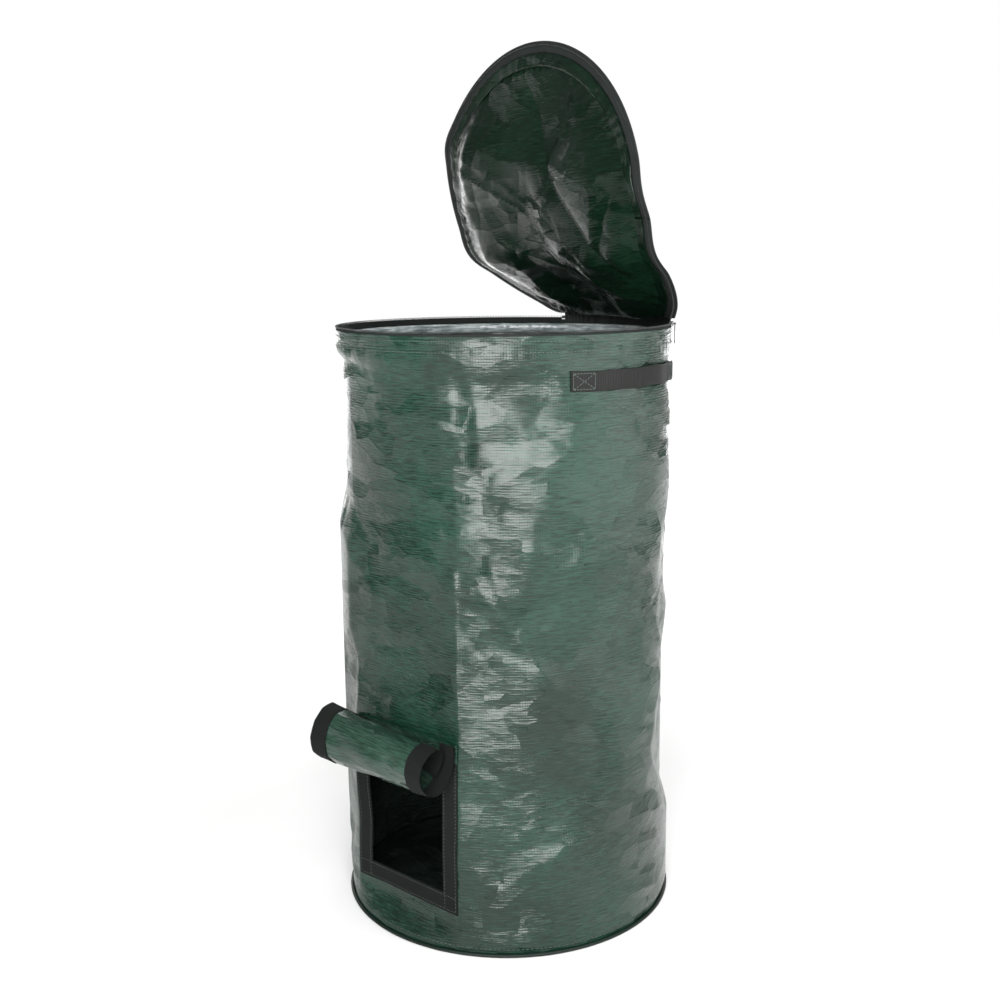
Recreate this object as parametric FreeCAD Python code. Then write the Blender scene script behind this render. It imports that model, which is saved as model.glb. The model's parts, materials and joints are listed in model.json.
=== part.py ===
"""Flexible garden compost bag: a sewn tube of woven polyethylene with a zipped lid, two webbing
handles and a roll-up emptying flap.  Millimetres, +Z up, origin at the centre of the base.

The emptying window faces -Y and the handles sit at +X and -X.  The lid folds up along a chord near
the back of the rim.  Cloth that bends in use is cut into flat panels on fold lines, with a small gap
on each line, so that the lid can fold and the flap can roll on plain hinges.
"""
import FreeCAD
import Part

import math
import os

V = FreeCAD.Vector

# ---- cloth, tapes and gaps ----
CLOTH = 0.6              # woven sheet of the wall, base, lid and flap
SEAM_GAP = 0.1           # between layers that are sewn together
FOLD_GAP = 0.8           # from a fold line to the edge of the panel beside it
RUN_GAP = 0.35           # between pieces that move past each other

# ---- bag ----
BAG_RADIUS = 225.0       # outside of the wall
WALL_HEIGHT = 795.0      # top edge of the wall's cloth
WELT_RADIUS = 2.2        # piping round the base seam
SEAM_STRIP_WIDTH = 25.0  # lapped upright seam of the tube
SEAM_STRIP_ANGLE = 135.0
SEAM_STRIP_INSET = 9.0   # from the floor and from the top edge of the wall

# ---- rim hoop and its sleeve ----
HOOP_RADIUS = 1.8        # plastic rod that keeps the mouth round
HOOP_GAP = 1.0           # sewing cut between the rod's two ends
FERRULE_WALL = 0.5
FERRULE_LENGTH = 34.0
SLEEVE_DROP = 20.0       # from the wall's top edge to the bottom of the sleeve
SLEEVE_HEIGHT = 14.0

# ---- zip ----
TAPE = 0.6               # thickness of the zip tape
COIL_RADIUS = 1.2
TAPE_STAND = 3.0         # how far the rim tape stands above the wall's edge
SLIDER_LENGTH = 14.0
SLIDER_PLATE = 1.0
PULL_LENGTH = 26.0
PULL_WIDTH = 9.0
PULL_THICKNESS = 1.2
PULL_BAR_RADIUS = 0.6
PULL_EYE_WIDTH = 4.0
PULL_EYE_WALL = 0.9
PULL_EYE_PLAY = 0.15
STOP_LENGTH = 4.0

# ---- lid ----
LID_OVERHANG = 3.5       # lid's edge past the wall
LID_TAPE_WIDTH = 14.0
LID_HEM_WIDTH = 18.0
HINGE_AZIMUTH = 73.5     # middle of the lid's sewn edge, degrees from +X towards +Y
HINGE_HALF_ANGLE = 36.0
PARK_ANGLE = 4.0         # from the end of the sewn edge to the parked slider
LID_FOLDS = [            # distance from the hinge, skew of the line, fold at rest (degrees)
    (135.0, 0.0, 32.5),
    (261.0, 12.0, 21.0),
]
LID_LEAN = 51.0          # lean of the lowest panel over the mouth at rest, from upright
LID_NAMES = ["lower", "middle", "upper"]

# ---- flat front and emptying window ----
FLAT_MARGIN = 2.6        # from the window's tapes to the ends of the flat
FLAT_FOOT = 4.0          # height over which the wall stays round at the base seam
FLAT_BOTTOM = 42.0
FLAT_RISE = 9.0          # from the flap's top edge to the top of the flat
FLAT_FADE_SHARE = 0.98   # share of the height between the flat and the rim sleeve in which it fades
WINDOW_WIDTH = 135.0
WINDOW_HEIGHT = 180.0
WINDOW_SILL = 77.0
GRIP_WIDTH = 25.0        # hook and loop tape
HOOK_TAPE = 1.2
LOOP_TAPE = 1.0

# ---- roll-up flap ----
FLAP_PANELS = 12
FLAP_LAST_SHARE = 0.25   # length of the last panel at the middle of the flap, in pitches of the folds
FLAP_SEAM_RISE = 11.0    # from the top of the window to the fold under the seam, at the middle
ROLL_TILT = 4.0          # the roll's -X end sits higher
ROLL_APEX = 800.0        # the fold lines meet this far to +X, so the roll tapers
ROLL_RADIUS_OUTER = 38.0
ROLL_RADIUS_INNER = 31.0
FLAP_FOLD_GAP = 0.5
HEAD_STRIP_HEIGHT = 15.0

# ---- handles ----
STRAP_WIDTH = 25.0
STRAP_THICKNESS = 1.3
STRAP_HALF_ANGLE = 28.0
STRAP_SEWN_ANGLE = 9.0
STRAP_BOW = 8.0          # how far the free middle stands off the wall
STRAP_DROP = 55.0        # from the wall's top edge to the middle of the strap
STITCH_LENGTH = 3.2
STITCH_PITCH = 5.0
STITCH_WIDTH = 0.8
STITCH_HEIGHT = 0.5
STITCH_BORDER = 3.0      # from the edge of the sewn end to the stitched box

# ---- worked out from the sizes above ----
WALL_INNER = BAG_RADIUS - CLOTH
FLAP_HALF_WIDTH = WINDOW_WIDTH / 2 + GRIP_WIDTH
FLAT_Y = math.sqrt(BAG_RADIUS ** 2 - (FLAP_HALF_WIDTH + FLAT_MARGIN) ** 2)
TAPE_OUTER = WALL_INNER - SEAM_GAP
TAPE_INNER = TAPE_OUTER - TAPE
ZIP_RADIUS = (TAPE_OUTER + TAPE_INNER) / 2
SLEEVE_TOP = WALL_HEIGHT - SLEEVE_DROP + SLEEVE_HEIGHT
TAPE_BOTTOM = SLEEVE_TOP + 2 * SEAM_GAP
TAPE_TOP = WALL_HEIGHT + TAPE_STAND
RIM_COIL_Z = TAPE_TOP + COIL_RADIUS
RIM_TOP = RIM_COIL_Z + COIL_RADIUS
SLIDER_TOP = RIM_TOP + RUN_GAP + SLIDER_PLATE
LID_COIL_Z = SLIDER_TOP + RUN_GAP + COIL_RADIUS
LID_TAPE_Z = LID_COIL_Z + COIL_RADIUS + SEAM_GAP / 2
LID_PANEL_Z = LID_TAPE_Z + TAPE + SEAM_GAP
LID_PLANE = LID_PANEL_Z + CLOTH / 2
LID_RADIUS = BAG_RADIUS + LID_OVERHANG
HINGE_DISTANCE = LID_RADIUS * math.cos(math.radians(HINGE_HALF_ANGLE))
HINGE_START = HINGE_AZIMUTH - HINGE_HALF_ANGLE
SLIDER_PARK = HINGE_START - PARK_ANGLE
HINGE_TAPE_HALF = math.degrees(math.acos((HINGE_DISTANCE + 2 * FOLD_GAP) / TAPE_INNER))
ZIP_HALF_GAP = HINGE_TAPE_HALF + math.degrees(SEAM_GAP / ZIP_RADIUS)
ZIP_START = HINGE_AZIMUTH + ZIP_HALF_GAP
ZIP_SWEEP = 360.0 - 2 * ZIP_HALF_GAP
WINDOW_TOP = WINDOW_SILL + WINDOW_HEIGHT
FLAP_Y = FLAT_Y + HOOK_TAPE + RUN_GAP + LOOP_TAPE + CLOTH / 2
FLAP_SEAM_Z = WINDOW_TOP + FLAP_SEAM_RISE
FLAP_FOOT = WINDOW_SILL - GRIP_WIDTH
FLAP_PITCH = (FLAP_SEAM_Z - FLAP_FOOT) / (FLAP_PANELS - 1 + FLAP_LAST_SHARE)
FLAP_HEAD = FLAP_SEAM_Z + HEAD_STRIP_HEIGHT
FLAT_TOP = FLAP_HEAD + FLAT_RISE
FLAT_END = FLAT_TOP + (WALL_HEIGHT - SLEEVE_DROP - FLAT_TOP) * FLAT_FADE_SHARE
STRAP_CENTRE_Z = WALL_HEIGHT - STRAP_DROP


def polar(radius, degrees, z=0.0):
    """Point at a radius and an angle from +X."""
    angle = math.radians(degrees)
    return V(radius * math.cos(angle), radius * math.sin(angle), z)


def box(x0, x1, y0, y1, z0, z1):
    """Block between two opposite corners."""
    return Part.makeBox(x1 - x0, y1 - y0, z1 - z0, V(x0, y0, z0))


def sector(r0, r1, z0, z1, start, sweep):
    """Part of a round wall, from an angle and through a sweep."""
    face = Part.Face(Part.makePolygon([V(r0, 0, z0), V(r1, 0, z0), V(r1, 0, z1), V(r0, 0, z1), V(r0, 0, z0)]))
    return turned(face, start).revolve(V(0, 0, 0), V(0, 0, 1), sweep)


def ring_rod(centre_radius, z, rod_radius, start, sweep):
    """Round rod bent round the bag's axis."""
    circle = Part.makeCircle(rod_radius, V(centre_radius, 0, z), V(0, 1, 0))
    face = Part.Face(Part.Wire(circle))
    return turned(face, start).revolve(V(0, 0, 0), V(0, 0, 1), sweep)


def turned(shape, degrees):
    """Copy of a shape, turned about the bag's axis."""
    copy = shape.copy()
    copy.rotate(V(0, 0, 0), V(0, 0, 1), degrees)
    return copy


# ---- bag body ----
def wall_outline(radius, flat_y, z, flat):
    """Closed outline of the wall at one height: a long arc and the front, round or drawn flat."""
    half = math.degrees(math.acos(flat_y / radius))
    left = polar(radius, -90 - half, z)
    right = polar(radius, -90 + half, z)
    back = Part.Arc(right, polar(radius, 90, z), left).toShape()
    if flat:
        front = Part.makeLine(left, right)
    else:
        front = Part.Arc(left, polar(radius, -90, z), right).toShape()
    return Part.Wire([back, front])


def wall_core(radius, flat_y, bottom, top):
    """Solid inside one face of the wall: round, drawn flat at the window, and round again."""
    def outline(z, flat):
        return wall_outline(radius, flat_y, z, flat)

    base = Part.makeCylinder(radius, FLAT_FOOT - bottom, V(0, 0, bottom))
    foot = Part.makeLoft([outline(FLAT_FOOT, False), outline(FLAT_BOTTOM, True)], True, True)
    middle = Part.Face(outline(FLAT_BOTTOM, True)).extrude(V(0, 0, FLAT_TOP - FLAT_BOTTOM))
    fade = Part.makeLoft([outline(FLAT_TOP, True), outline(FLAT_END, False)], True, True)
    round_top = Part.makeCylinder(radius, top - FLAT_END, V(0, 0, FLAT_END))
    return base.fuse([foot, middle, fade, round_top])


def bag_wall():
    """Tube of cloth with the emptying window cut through its flat front."""
    outer = wall_core(BAG_RADIUS, FLAT_Y, 0.0, WALL_HEIGHT)
    inner = wall_core(WALL_INNER, FLAT_Y - CLOTH, 0.0, WALL_HEIGHT)
    window = box(-WINDOW_WIDTH / 2, WINDOW_WIDTH / 2, -BAG_RADIUS, -FLAT_Y / 2, WINDOW_SILL, WINDOW_TOP)
    return outer.cut(inner).cut(window).removeSplitter()


def base_panel():
    return Part.makeCylinder(WALL_INNER - SEAM_GAP, CLOTH)


def base_welt():
    return ring_rod(BAG_RADIUS + SEAM_GAP + WELT_RADIUS, WELT_RADIUS, WELT_RADIUS, 0, 360)


def wall_seam_strip():
    sweep = math.degrees(SEAM_STRIP_WIDTH / BAG_RADIUS)
    inner = BAG_RADIUS + SEAM_GAP
    return sector(inner, inner + CLOTH, SEAM_STRIP_INSET, WALL_HEIGHT - SEAM_STRIP_INSET, SEAM_STRIP_ANGLE, sweep)


# ---- rim ----
def rim_sleeve():
    """Channel of hemmed cloth that holds the hoop against the wall."""
    bottom = WALL_HEIGHT - SLEEVE_DROP
    outer = WALL_INNER - SEAM_GAP
    inner = outer - CLOTH - 2 * (HOOP_RADIUS + FERRULE_WALL + SEAM_GAP)
    block = sector(inner, outer, bottom, SLEEVE_TOP, 0, 360)
    channel = sector(inner + CLOTH, outer + CLOTH, bottom + CLOTH, SLEEVE_TOP - CLOTH, 0, 360)
    return block.cut(channel)


def hoop_centre():
    radius = WALL_INNER - 2 * SEAM_GAP - FERRULE_WALL - HOOP_RADIUS
    return radius, SLEEVE_TOP - SLEEVE_HEIGHT / 2


def rim_hoop():
    radius, z = hoop_centre()
    gap = math.degrees(HOOP_GAP / radius)
    return ring_rod(radius, z, HOOP_RADIUS, HINGE_AZIMUTH + gap / 2, 360 - gap)


def hoop_ferrule():
    radius, z = hoop_centre()
    sweep = math.degrees(FERRULE_LENGTH / radius)
    start = HINGE_AZIMUTH - sweep / 2
    play = SEAM_GAP / 2
    tube = ring_rod(radius, z, HOOP_RADIUS + FERRULE_WALL, start, sweep)
    hole = ring_rod(radius, z, HOOP_RADIUS + play, start - 1, sweep + 2)
    return tube.cut(hole)


def rim_zip_tape():
    return sector(TAPE_INNER, TAPE_OUTER, TAPE_BOTTOM, TAPE_TOP, ZIP_START, ZIP_SWEEP)


def rim_zip_coil():
    return ring_rod(ZIP_RADIUS, RIM_COIL_Z, COIL_RADIUS, ZIP_START, ZIP_SWEEP)


def zip_end_stops():
    """Moulded blocks on the rim tape, one at each end of the zip."""
    sweep = math.degrees(STOP_LENGTH / ZIP_RADIUS)
    over = COIL_RADIUS + CLOTH
    stops = []
    for start in (ZIP_START, ZIP_START + ZIP_SWEEP - sweep):
        block = sector(ZIP_RADIUS - over, ZIP_RADIUS + over, TAPE_TOP - over, RIM_TOP, start, sweep)
        coil = ring_rod(ZIP_RADIUS, RIM_COIL_Z, COIL_RADIUS, start - 1, sweep + 2)
        tape = sector(TAPE_INNER, TAPE_OUTER, TAPE_BOTTOM, RIM_COIL_Z, start - 1, sweep + 2)
        stops += list(block.cut(coil.fuse(tape)).Solids)
    return Part.makeCompound(stops)


def hinge_tape():
    """Plain tape that joins the back of the lid to the wall."""
    top = LID_TAPE_Z + TAPE
    start = HINGE_AZIMUTH - HINGE_TAPE_HALF
    return sector(TAPE_INNER, TAPE_OUTER, TAPE_BOTTOM, top, start, 2 * HINGE_TAPE_HALF)


# ---- zip slider ----
def slider_section():
    """Outer and inner limits of the slider's plates, as radius and height."""
    outside = COIL_RADIUS + RUN_GAP + SLIDER_PLATE
    low = WALL_HEIGHT + 2 * RUN_GAP
    return ZIP_RADIUS - outside, ZIP_RADIUS + outside, low, SLIDER_TOP


def pull_axis():
    """Radius and height of the bar that the pull swings on."""
    _, outer, low, high = slider_section()
    return outer + PULL_EYE_WALL + PULL_EYE_PLAY + PULL_BAR_RADIUS + RUN_GAP, (low + high) / 2


def zip_slider():
    """Channel that runs on the coil, with a bar for the pull on its outer plate."""
    inner, outer, low, high = slider_section()
    sweep = math.degrees(SLIDER_LENGTH / ZIP_RADIUS)
    start = SLIDER_PARK - sweep / 2
    body = sector(inner, outer, low, high, start, sweep)
    room = COIL_RADIUS + RUN_GAP
    channel = sector(ZIP_RADIUS - room, ZIP_RADIUS + room, low - 1, RIM_TOP + RUN_GAP, start - 1, sweep + 2)
    body = body.cut(channel)
    radius, z = pull_axis()
    half = PULL_EYE_WIDTH / 2 + RUN_GAP
    lug = SLIDER_PLATE
    lugs = [
        box(outer - lug / 2, radius + PULL_BAR_RADIUS + RUN_GAP, y, y + lug, z - lug, z + lug)
        for y in (-half - lug, half)
    ]
    bar = Part.makeCylinder(PULL_BAR_RADIUS, 2 * half + lug, V(radius, -half - lug / 2, z), V(0, 1, 0))
    return body.fuse([turned(piece, SLIDER_PARK) for piece in lugs + [bar]]).removeSplitter()


def zip_pull():
    """Flat tab with an eye round the slider's bar."""
    radius, z = pull_axis()
    hole = PULL_BAR_RADIUS + PULL_EYE_PLAY
    eye = hole + PULL_EYE_WALL
    eye_solid = Part.makeCylinder(eye, PULL_EYE_WIDTH, V(radius, -PULL_EYE_WIDTH / 2, z), V(0, 1, 0))
    half = PULL_WIDTH / 2
    thick = PULL_THICKNESS / 2
    neck_end = z - eye - SLIDER_PLATE - RUN_GAP
    neck = box(radius - thick, radius + thick, -PULL_EYE_WIDTH / 2, PULL_EYE_WIDTH / 2, neck_end - half, z - hole)
    tip = z - PULL_LENGTH
    plate = box(radius - thick, radius + thick, -half, half, tip + half, neck_end)
    end = Part.makeCylinder(half, PULL_THICKNESS, V(radius - thick, 0, tip + half), V(1, 0, 0))
    grip_hole = Part.makeCylinder(half / 2, 2 * PULL_THICKNESS, V(radius - 2 * thick, 0, tip + half), V(1, 0, 0))
    bore = Part.makeCylinder(hole, PULL_WIDTH, V(radius, -half, z), V(0, 1, 0))
    tab = eye_solid.fuse([neck, plate, end]).cut(bore.fuse(grip_hole)).removeSplitter()
    return turned(tab, SLIDER_PARK)


# ---- lid, drawn closed and then folded up to its rest position ----
LID_OUT = polar(1.0, HINGE_AZIMUTH)
LID_ALONG = polar(1.0, HINGE_AZIMUTH + 90)
LID_HINGE = polar(HINGE_DISTANCE, HINGE_AZIMUTH, LID_PLANE)


def fold_line(index):
    """A point and a direction of a fold of the closed lid; line 0 is the hinge."""
    if index == 0:
        return LID_HINGE, LID_ALONG
    distance, skew, _ = LID_FOLDS[index - 1]
    angle = math.radians(skew)
    direction = LID_ALONG * math.cos(angle) - LID_OUT * math.sin(angle)
    return LID_HINGE - LID_OUT * distance, direction


def beyond(index):
    """Half space past a fold of the closed lid, as a large block that starts at the fold's gap."""
    point, direction = fold_line(index)
    across = V(0, 0, 1).cross(direction)
    size = 3 * LID_RADIUS
    corner = point - direction * (size / 2) + across * FOLD_GAP - V(0, 0, size / 2)
    block = Part.makeBox(size, size, size)
    block.Placement = FreeCAD.Placement(corner, FreeCAD.Rotation(direction, across, V(0, 0, 1), "XYZ"))
    return block


def before(index):
    """Half space on the hinge's side of a fold of the closed lid."""
    point, direction = fold_line(index)
    block = beyond(index)
    block.rotate(point, V(0, 0, 1), 180)
    return block


def folded(shape, panel):
    """A closed lid piece of one panel, folded up to its rest position."""
    copy = shape.copy()
    for index in range(panel, 0, -1):
        point, direction = fold_line(index)
        copy.rotate(point, direction, LID_FOLDS[index - 1][2])
    copy.rotate(LID_HINGE, LID_ALONG, 90 - LID_LEAN)
    return copy


def lid_piece(closed, panel):
    """The share of a closed lid ring or disc that belongs to one panel, at rest."""
    shape = closed.common(beyond(panel))
    if panel < len(LID_FOLDS):
        shape = shape.common(before(panel + 1))
    return folded(shape, panel)


def lid_disc():
    return Part.makeCylinder(LID_RADIUS, CLOTH, V(0, 0, LID_PANEL_Z))


def lid_back_panel():
    """The part of the lid behind the hinge line, which stays on the rim."""
    return lid_disc().common(before(0))


def lid_hem():
    """Folded edge of the lid's cloth, on its underside."""
    outer = LID_RADIUS - LID_TAPE_WIDTH - 2 * SEAM_GAP
    return sector(outer - LID_HEM_WIDTH, outer, LID_TAPE_Z, LID_TAPE_Z + TAPE, 0, 360)


def lid_zip_tape():
    return sector(LID_RADIUS - LID_TAPE_WIDTH, LID_RADIUS, LID_TAPE_Z, LID_TAPE_Z + TAPE, 0, 360)


def lid_zip_coil():
    """Coil over the rim's; the slider passes between the two."""
    return ring_rod(ZIP_RADIUS, LID_COIL_Z, COIL_RADIUS, 0, 360)


# ---- emptying window ----
def window_side_tape(side):
    """Hook tape up one side of the window; side is 1 or -1."""
    inner = side * WINDOW_WIDTH / 2
    outer = side * FLAP_HALF_WIDTH
    low = WINDOW_SILL - GRIP_WIDTH
    return box(min(inner, outer), max(inner, outer), -FLAT_Y - HOOK_TAPE, -FLAT_Y, low, WINDOW_TOP)


def window_tape_bottom():
    half = WINDOW_WIDTH / 2 - SEAM_GAP
    return box(-half, half, -FLAT_Y - HOOK_TAPE, -FLAT_Y, WINDOW_SILL - GRIP_WIDTH, WINDOW_SILL)


def window_tape_top():
    """Binding over the window, under the flap's seam."""
    low = WINDOW_TOP + SEAM_GAP
    return box(-FLAP_HALF_WIDTH, FLAP_HALF_WIDTH, -FLAT_Y - HOOK_TAPE, -FLAT_Y, low, FLAP_HEAD)


# ---- flap, drawn hanging and then rolled up panel by panel ----
def flap_fold(index):
    """A point and a direction of a fold of the hanging flap; all the lines meet at the roll's apex."""
    down = index * FLAP_PITCH
    apex_drop = ROLL_APEX * math.tan(math.radians(ROLL_TILT))
    direction = V(ROLL_APEX, 0, down - apex_drop).normalize()
    return V(0, -FLAP_Y, FLAP_SEAM_Z - down), direction


def roll_angle(index):
    """Turn at rest, in degrees, at the fold above a panel; panel 0 hangs from the seam."""
    share = index / (FLAP_PANELS - 1)
    radius = ROLL_RADIUS_OUTER + (ROLL_RADIUS_INNER - ROLL_RADIUS_OUTER) * share
    full = 2 * math.degrees(math.asin(FLAP_PITCH / 2 / radius))
    return full / 2 if index == 0 else full


def below_fold(index):
    """Half space under a fold of the hanging flap, as a large block that starts at the fold's gap."""
    point, direction = flap_fold(index)
    size = 6 * FLAP_HALF_WIDTH
    down = V(0, 1, 0).cross(direction)
    corner = point - direction * (size / 2) + V(0, size / 2, 0) + down * FLAP_FOLD_GAP
    block = Part.makeBox(size, size, size)
    block.Placement = FreeCAD.Placement(corner, FreeCAD.Rotation(direction, V(0, -1, 0), down, "XYZ"))
    return block


def above_fold(index):
    """Half space over a fold of the hanging flap."""
    point, _ = flap_fold(index)
    block = below_fold(index)
    block.rotate(point, V(0, 1, 0), 180)
    return block


def rolled(shape, panel):
    """A hanging flap piece of one panel, rolled up to its rest position."""
    copy = shape.copy()
    for index in range(panel, -1, -1):
        point, direction = flap_fold(index)
        copy.rotate(point, direction * -1, roll_angle(index))
    return copy


def flap_piece(hanging, panel):
    """The share of a hanging flap shape that belongs to one panel, at rest."""
    shape = hanging.common(below_fold(panel))
    if panel < FLAP_PANELS - 1:
        shape = shape.common(above_fold(panel + 1))
    return rolled(shape, panel)


def flap_cloth():
    """The whole flap, hanging."""
    half = FLAP_HALF_WIDTH
    return box(-half, half, -FLAP_Y - CLOTH / 2, -FLAP_Y + CLOTH / 2, FLAP_FOOT, FLAP_HEAD)


def flap_head_strip():
    """Top edge of the flap, sewn through the binding to the wall."""
    half = FLAP_HALF_WIDTH
    strip = box(-half, half, -FLAP_Y - CLOTH / 2, -FLAT_Y - HOOK_TAPE - SEAM_GAP, FLAP_FOOT, FLAP_HEAD)
    return strip.common(above_fold(0))


def flap_loop_tape():
    """Loop tape on the flap's inner face, down both edges and along the foot."""
    front = -FLAP_Y + CLOTH / 2
    back = front + LOOP_TAPE
    half = FLAP_HALF_WIDTH
    sheet = box(-half, half, front, back, FLAP_FOOT, FLAP_HEAD)
    middle = box(-WINDOW_WIDTH / 2, WINDOW_WIDTH / 2, front, back, WINDOW_SILL, FLAP_HEAD)
    return sheet.cut(middle)


# ---- handles ----
def strap_part(inner, thickness, start, end, bow):
    """Length of webbing between two angles, bowed off the wall in its middle."""
    middle = (start + end) / 2
    low = STRAP_CENTRE_Z - STRAP_WIDTH / 2

    def arc(radius, first, last):
        return Part.Arc(polar(radius, first, low), polar(radius + bow, middle, low), polar(radius, last, low)).toShape()

    near = arc(inner, start, end)
    far = arc(inner + thickness, end, start)
    sides = [
        Part.makeLine(polar(inner, end, low), polar(inner + thickness, end, low)),
        Part.makeLine(polar(inner + thickness, start, low), polar(inner, start, low)),
    ]
    outline = Part.Wire([near, sides[0], far, sides[1]])
    return Part.Face(outline).extrude(V(0, 0, STRAP_WIDTH))


def handle_strap(middle):
    """Webbing strap with both ends folded under and sewn to the wall."""
    seat = BAG_RADIUS + SEAM_GAP
    free = STRAP_HALF_ANGLE - STRAP_SEWN_ANGLE
    top_layer = seat + STRAP_THICKNESS
    ends = [
        strap_part(seat, 2 * STRAP_THICKNESS, middle - STRAP_HALF_ANGLE, middle - free, 0),
        strap_part(seat, 2 * STRAP_THICKNESS, middle + free, middle + STRAP_HALF_ANGLE, 0),
    ]
    return strap_part(top_layer, STRAP_THICKNESS, middle - free, middle + free, STRAP_BOW).fuse(ends)


def stitch_run(start, end):
    """Middles and slopes of the stitches along a line, in distance along the strap and height."""
    length = math.dist(start, end)
    count = max(2, round(length / STITCH_PITCH))
    slope = math.degrees(math.atan2(end[1] - start[1], end[0] - start[0]))
    for number in range(count):
        share = (number + 0.5) / count
        yield start[0] + (end[0] - start[0]) * share, start[1] + (end[1] - start[1]) * share, slope


def handle_stitching(middle):
    """Boxed crosses of thread that hold the strap's two ends."""
    face = BAG_RADIUS + SEAM_GAP + 2 * STRAP_THICKNESS
    half_length = math.radians(STRAP_SEWN_ANGLE) * face / 2 - STITCH_BORDER
    half_height = STRAP_WIDTH / 2 - STITCH_BORDER
    corners = [(-half_length, -half_height), (half_length, -half_height),
               (half_length, half_height), (-half_length, half_height)]
    runs = [(corners[i], corners[(i + 1) % 4]) for i in range(4)]
    runs += [(corners[0], corners[2]), (corners[1], corners[3])]
    stitches = []
    for end in (-1, 1):
        centre = middle + end * (STRAP_HALF_ANGLE - STRAP_SEWN_ANGLE / 2)
        for start, stop in runs:
            for along, up, slope in stitch_run(start, stop):
                stitch = box(face, face + STITCH_HEIGHT, -STITCH_LENGTH / 2, STITCH_LENGTH / 2,
                             -STITCH_WIDTH / 2, STITCH_WIDTH / 2)
                stitch.rotate(V(0, 0, 0), V(1, 0, 0), slope)
                stitch.translate(V(0, 0, STRAP_CENTRE_Z + up))
                stitches.append(turned(stitch, centre + math.degrees(along / face)))
    return Part.makeCompound(stitches)


# ---- every node ----
def build():
    nodes = {
        "bag_wall": bag_wall(),
        "base_panel": base_panel(),
        "base_welt": base_welt(),
        "wall_seam_strip": wall_seam_strip(),
        "rim_sleeve": rim_sleeve(),
        "rim_hoop": rim_hoop(),
        "hoop_ferrule": hoop_ferrule(),
        "rim_zip_tape": rim_zip_tape(),
        "rim_zip_coil": rim_zip_coil(),
        "zip_end_stops": zip_end_stops(),
        "hinge_tape": hinge_tape(),
        "lid_back_panel": lid_back_panel(),
        "zip_slider": zip_slider(),
        "zip_pull": zip_pull(),
        "window_tape_left": window_side_tape(-1),
        "window_tape_right": window_side_tape(1),
        "window_tape_bottom": window_tape_bottom(),
        "window_tape_top": window_tape_top(),
        "flap_head_strip": flap_head_strip(),
        "handle_strap_right": handle_strap(0.0),
        "handle_strap_left": handle_strap(180.0),
        "handle_stitching_right": handle_stitching(0.0),
        "handle_stitching_left": handle_stitching(180.0),
    }
    for panel, name in enumerate(LID_NAMES):
        nodes["lid_panel_" + name] = lid_piece(lid_disc(), panel)
        nodes["lid_hem_" + name] = lid_piece(lid_hem(), panel)
        nodes["lid_zip_tape_" + name] = lid_piece(lid_zip_tape(), panel)
        nodes["lid_zip_coil_" + name] = lid_piece(lid_zip_coil(), panel)
    for index in range(FLAP_PANELS):
        nodes[f"flap_panel_{index + 1}"] = flap_piece(flap_cloth(), index)
        nodes[f"flap_loop_tape_{index + 1}"] = flap_piece(flap_loop_tape(), index)
    return nodes


def main():
    os.makedirs("parts", exist_ok=True)
    for name, shape in build().items():
        if not shape.Solids or not shape.isValid():
            raise ValueError(name + " is not a valid solid")
        shape.exportStep("parts/" + name + ".step")


if __name__ == "__main__":
    main()
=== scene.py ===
# %% [markdown]
# # A flexible garden compost bag
# The bag is a tube of woven polyethylene cloth with a zipped lid, two webbing handles and a window
# whose flap is rolled up. The CAD model gives every size and every hinge. This lesson dresses it in
# cloth: each soft part is a surface worked out with numpy, so that it can crumple, sag and fold.
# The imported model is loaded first, because every place in this file is read from it.

import json
import math

import bmesh
import bpy
import numpy as np
from mathutils import Matrix, Vector


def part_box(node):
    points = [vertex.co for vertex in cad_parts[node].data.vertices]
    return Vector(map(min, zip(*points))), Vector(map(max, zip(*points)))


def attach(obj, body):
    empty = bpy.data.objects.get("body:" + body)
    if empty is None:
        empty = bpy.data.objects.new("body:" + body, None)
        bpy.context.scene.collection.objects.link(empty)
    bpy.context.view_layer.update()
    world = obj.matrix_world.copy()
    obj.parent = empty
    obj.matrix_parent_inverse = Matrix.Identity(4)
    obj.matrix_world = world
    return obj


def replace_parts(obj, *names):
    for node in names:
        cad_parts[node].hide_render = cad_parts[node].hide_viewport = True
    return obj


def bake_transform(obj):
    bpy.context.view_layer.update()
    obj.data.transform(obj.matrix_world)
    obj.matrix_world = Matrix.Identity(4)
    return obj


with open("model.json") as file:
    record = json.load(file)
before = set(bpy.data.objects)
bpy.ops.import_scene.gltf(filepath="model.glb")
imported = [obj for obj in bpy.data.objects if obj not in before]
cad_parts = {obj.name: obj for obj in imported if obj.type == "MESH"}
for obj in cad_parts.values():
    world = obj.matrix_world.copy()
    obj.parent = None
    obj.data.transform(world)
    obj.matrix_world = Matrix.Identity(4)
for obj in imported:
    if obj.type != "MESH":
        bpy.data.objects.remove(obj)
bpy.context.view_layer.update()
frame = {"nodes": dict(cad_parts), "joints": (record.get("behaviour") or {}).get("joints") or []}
JOINTS = {joint["name"]: joint for joint in frame["joints"]}
MM = 0.001

# %% [markdown]
# ## Sizes read from the model
# A maker measures the pattern pieces before cutting. Here the measures come from the boxes of the CAD
# parts: the tube's radius and height, the flat front that the window's tapes hold, and the lid's plane.

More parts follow.
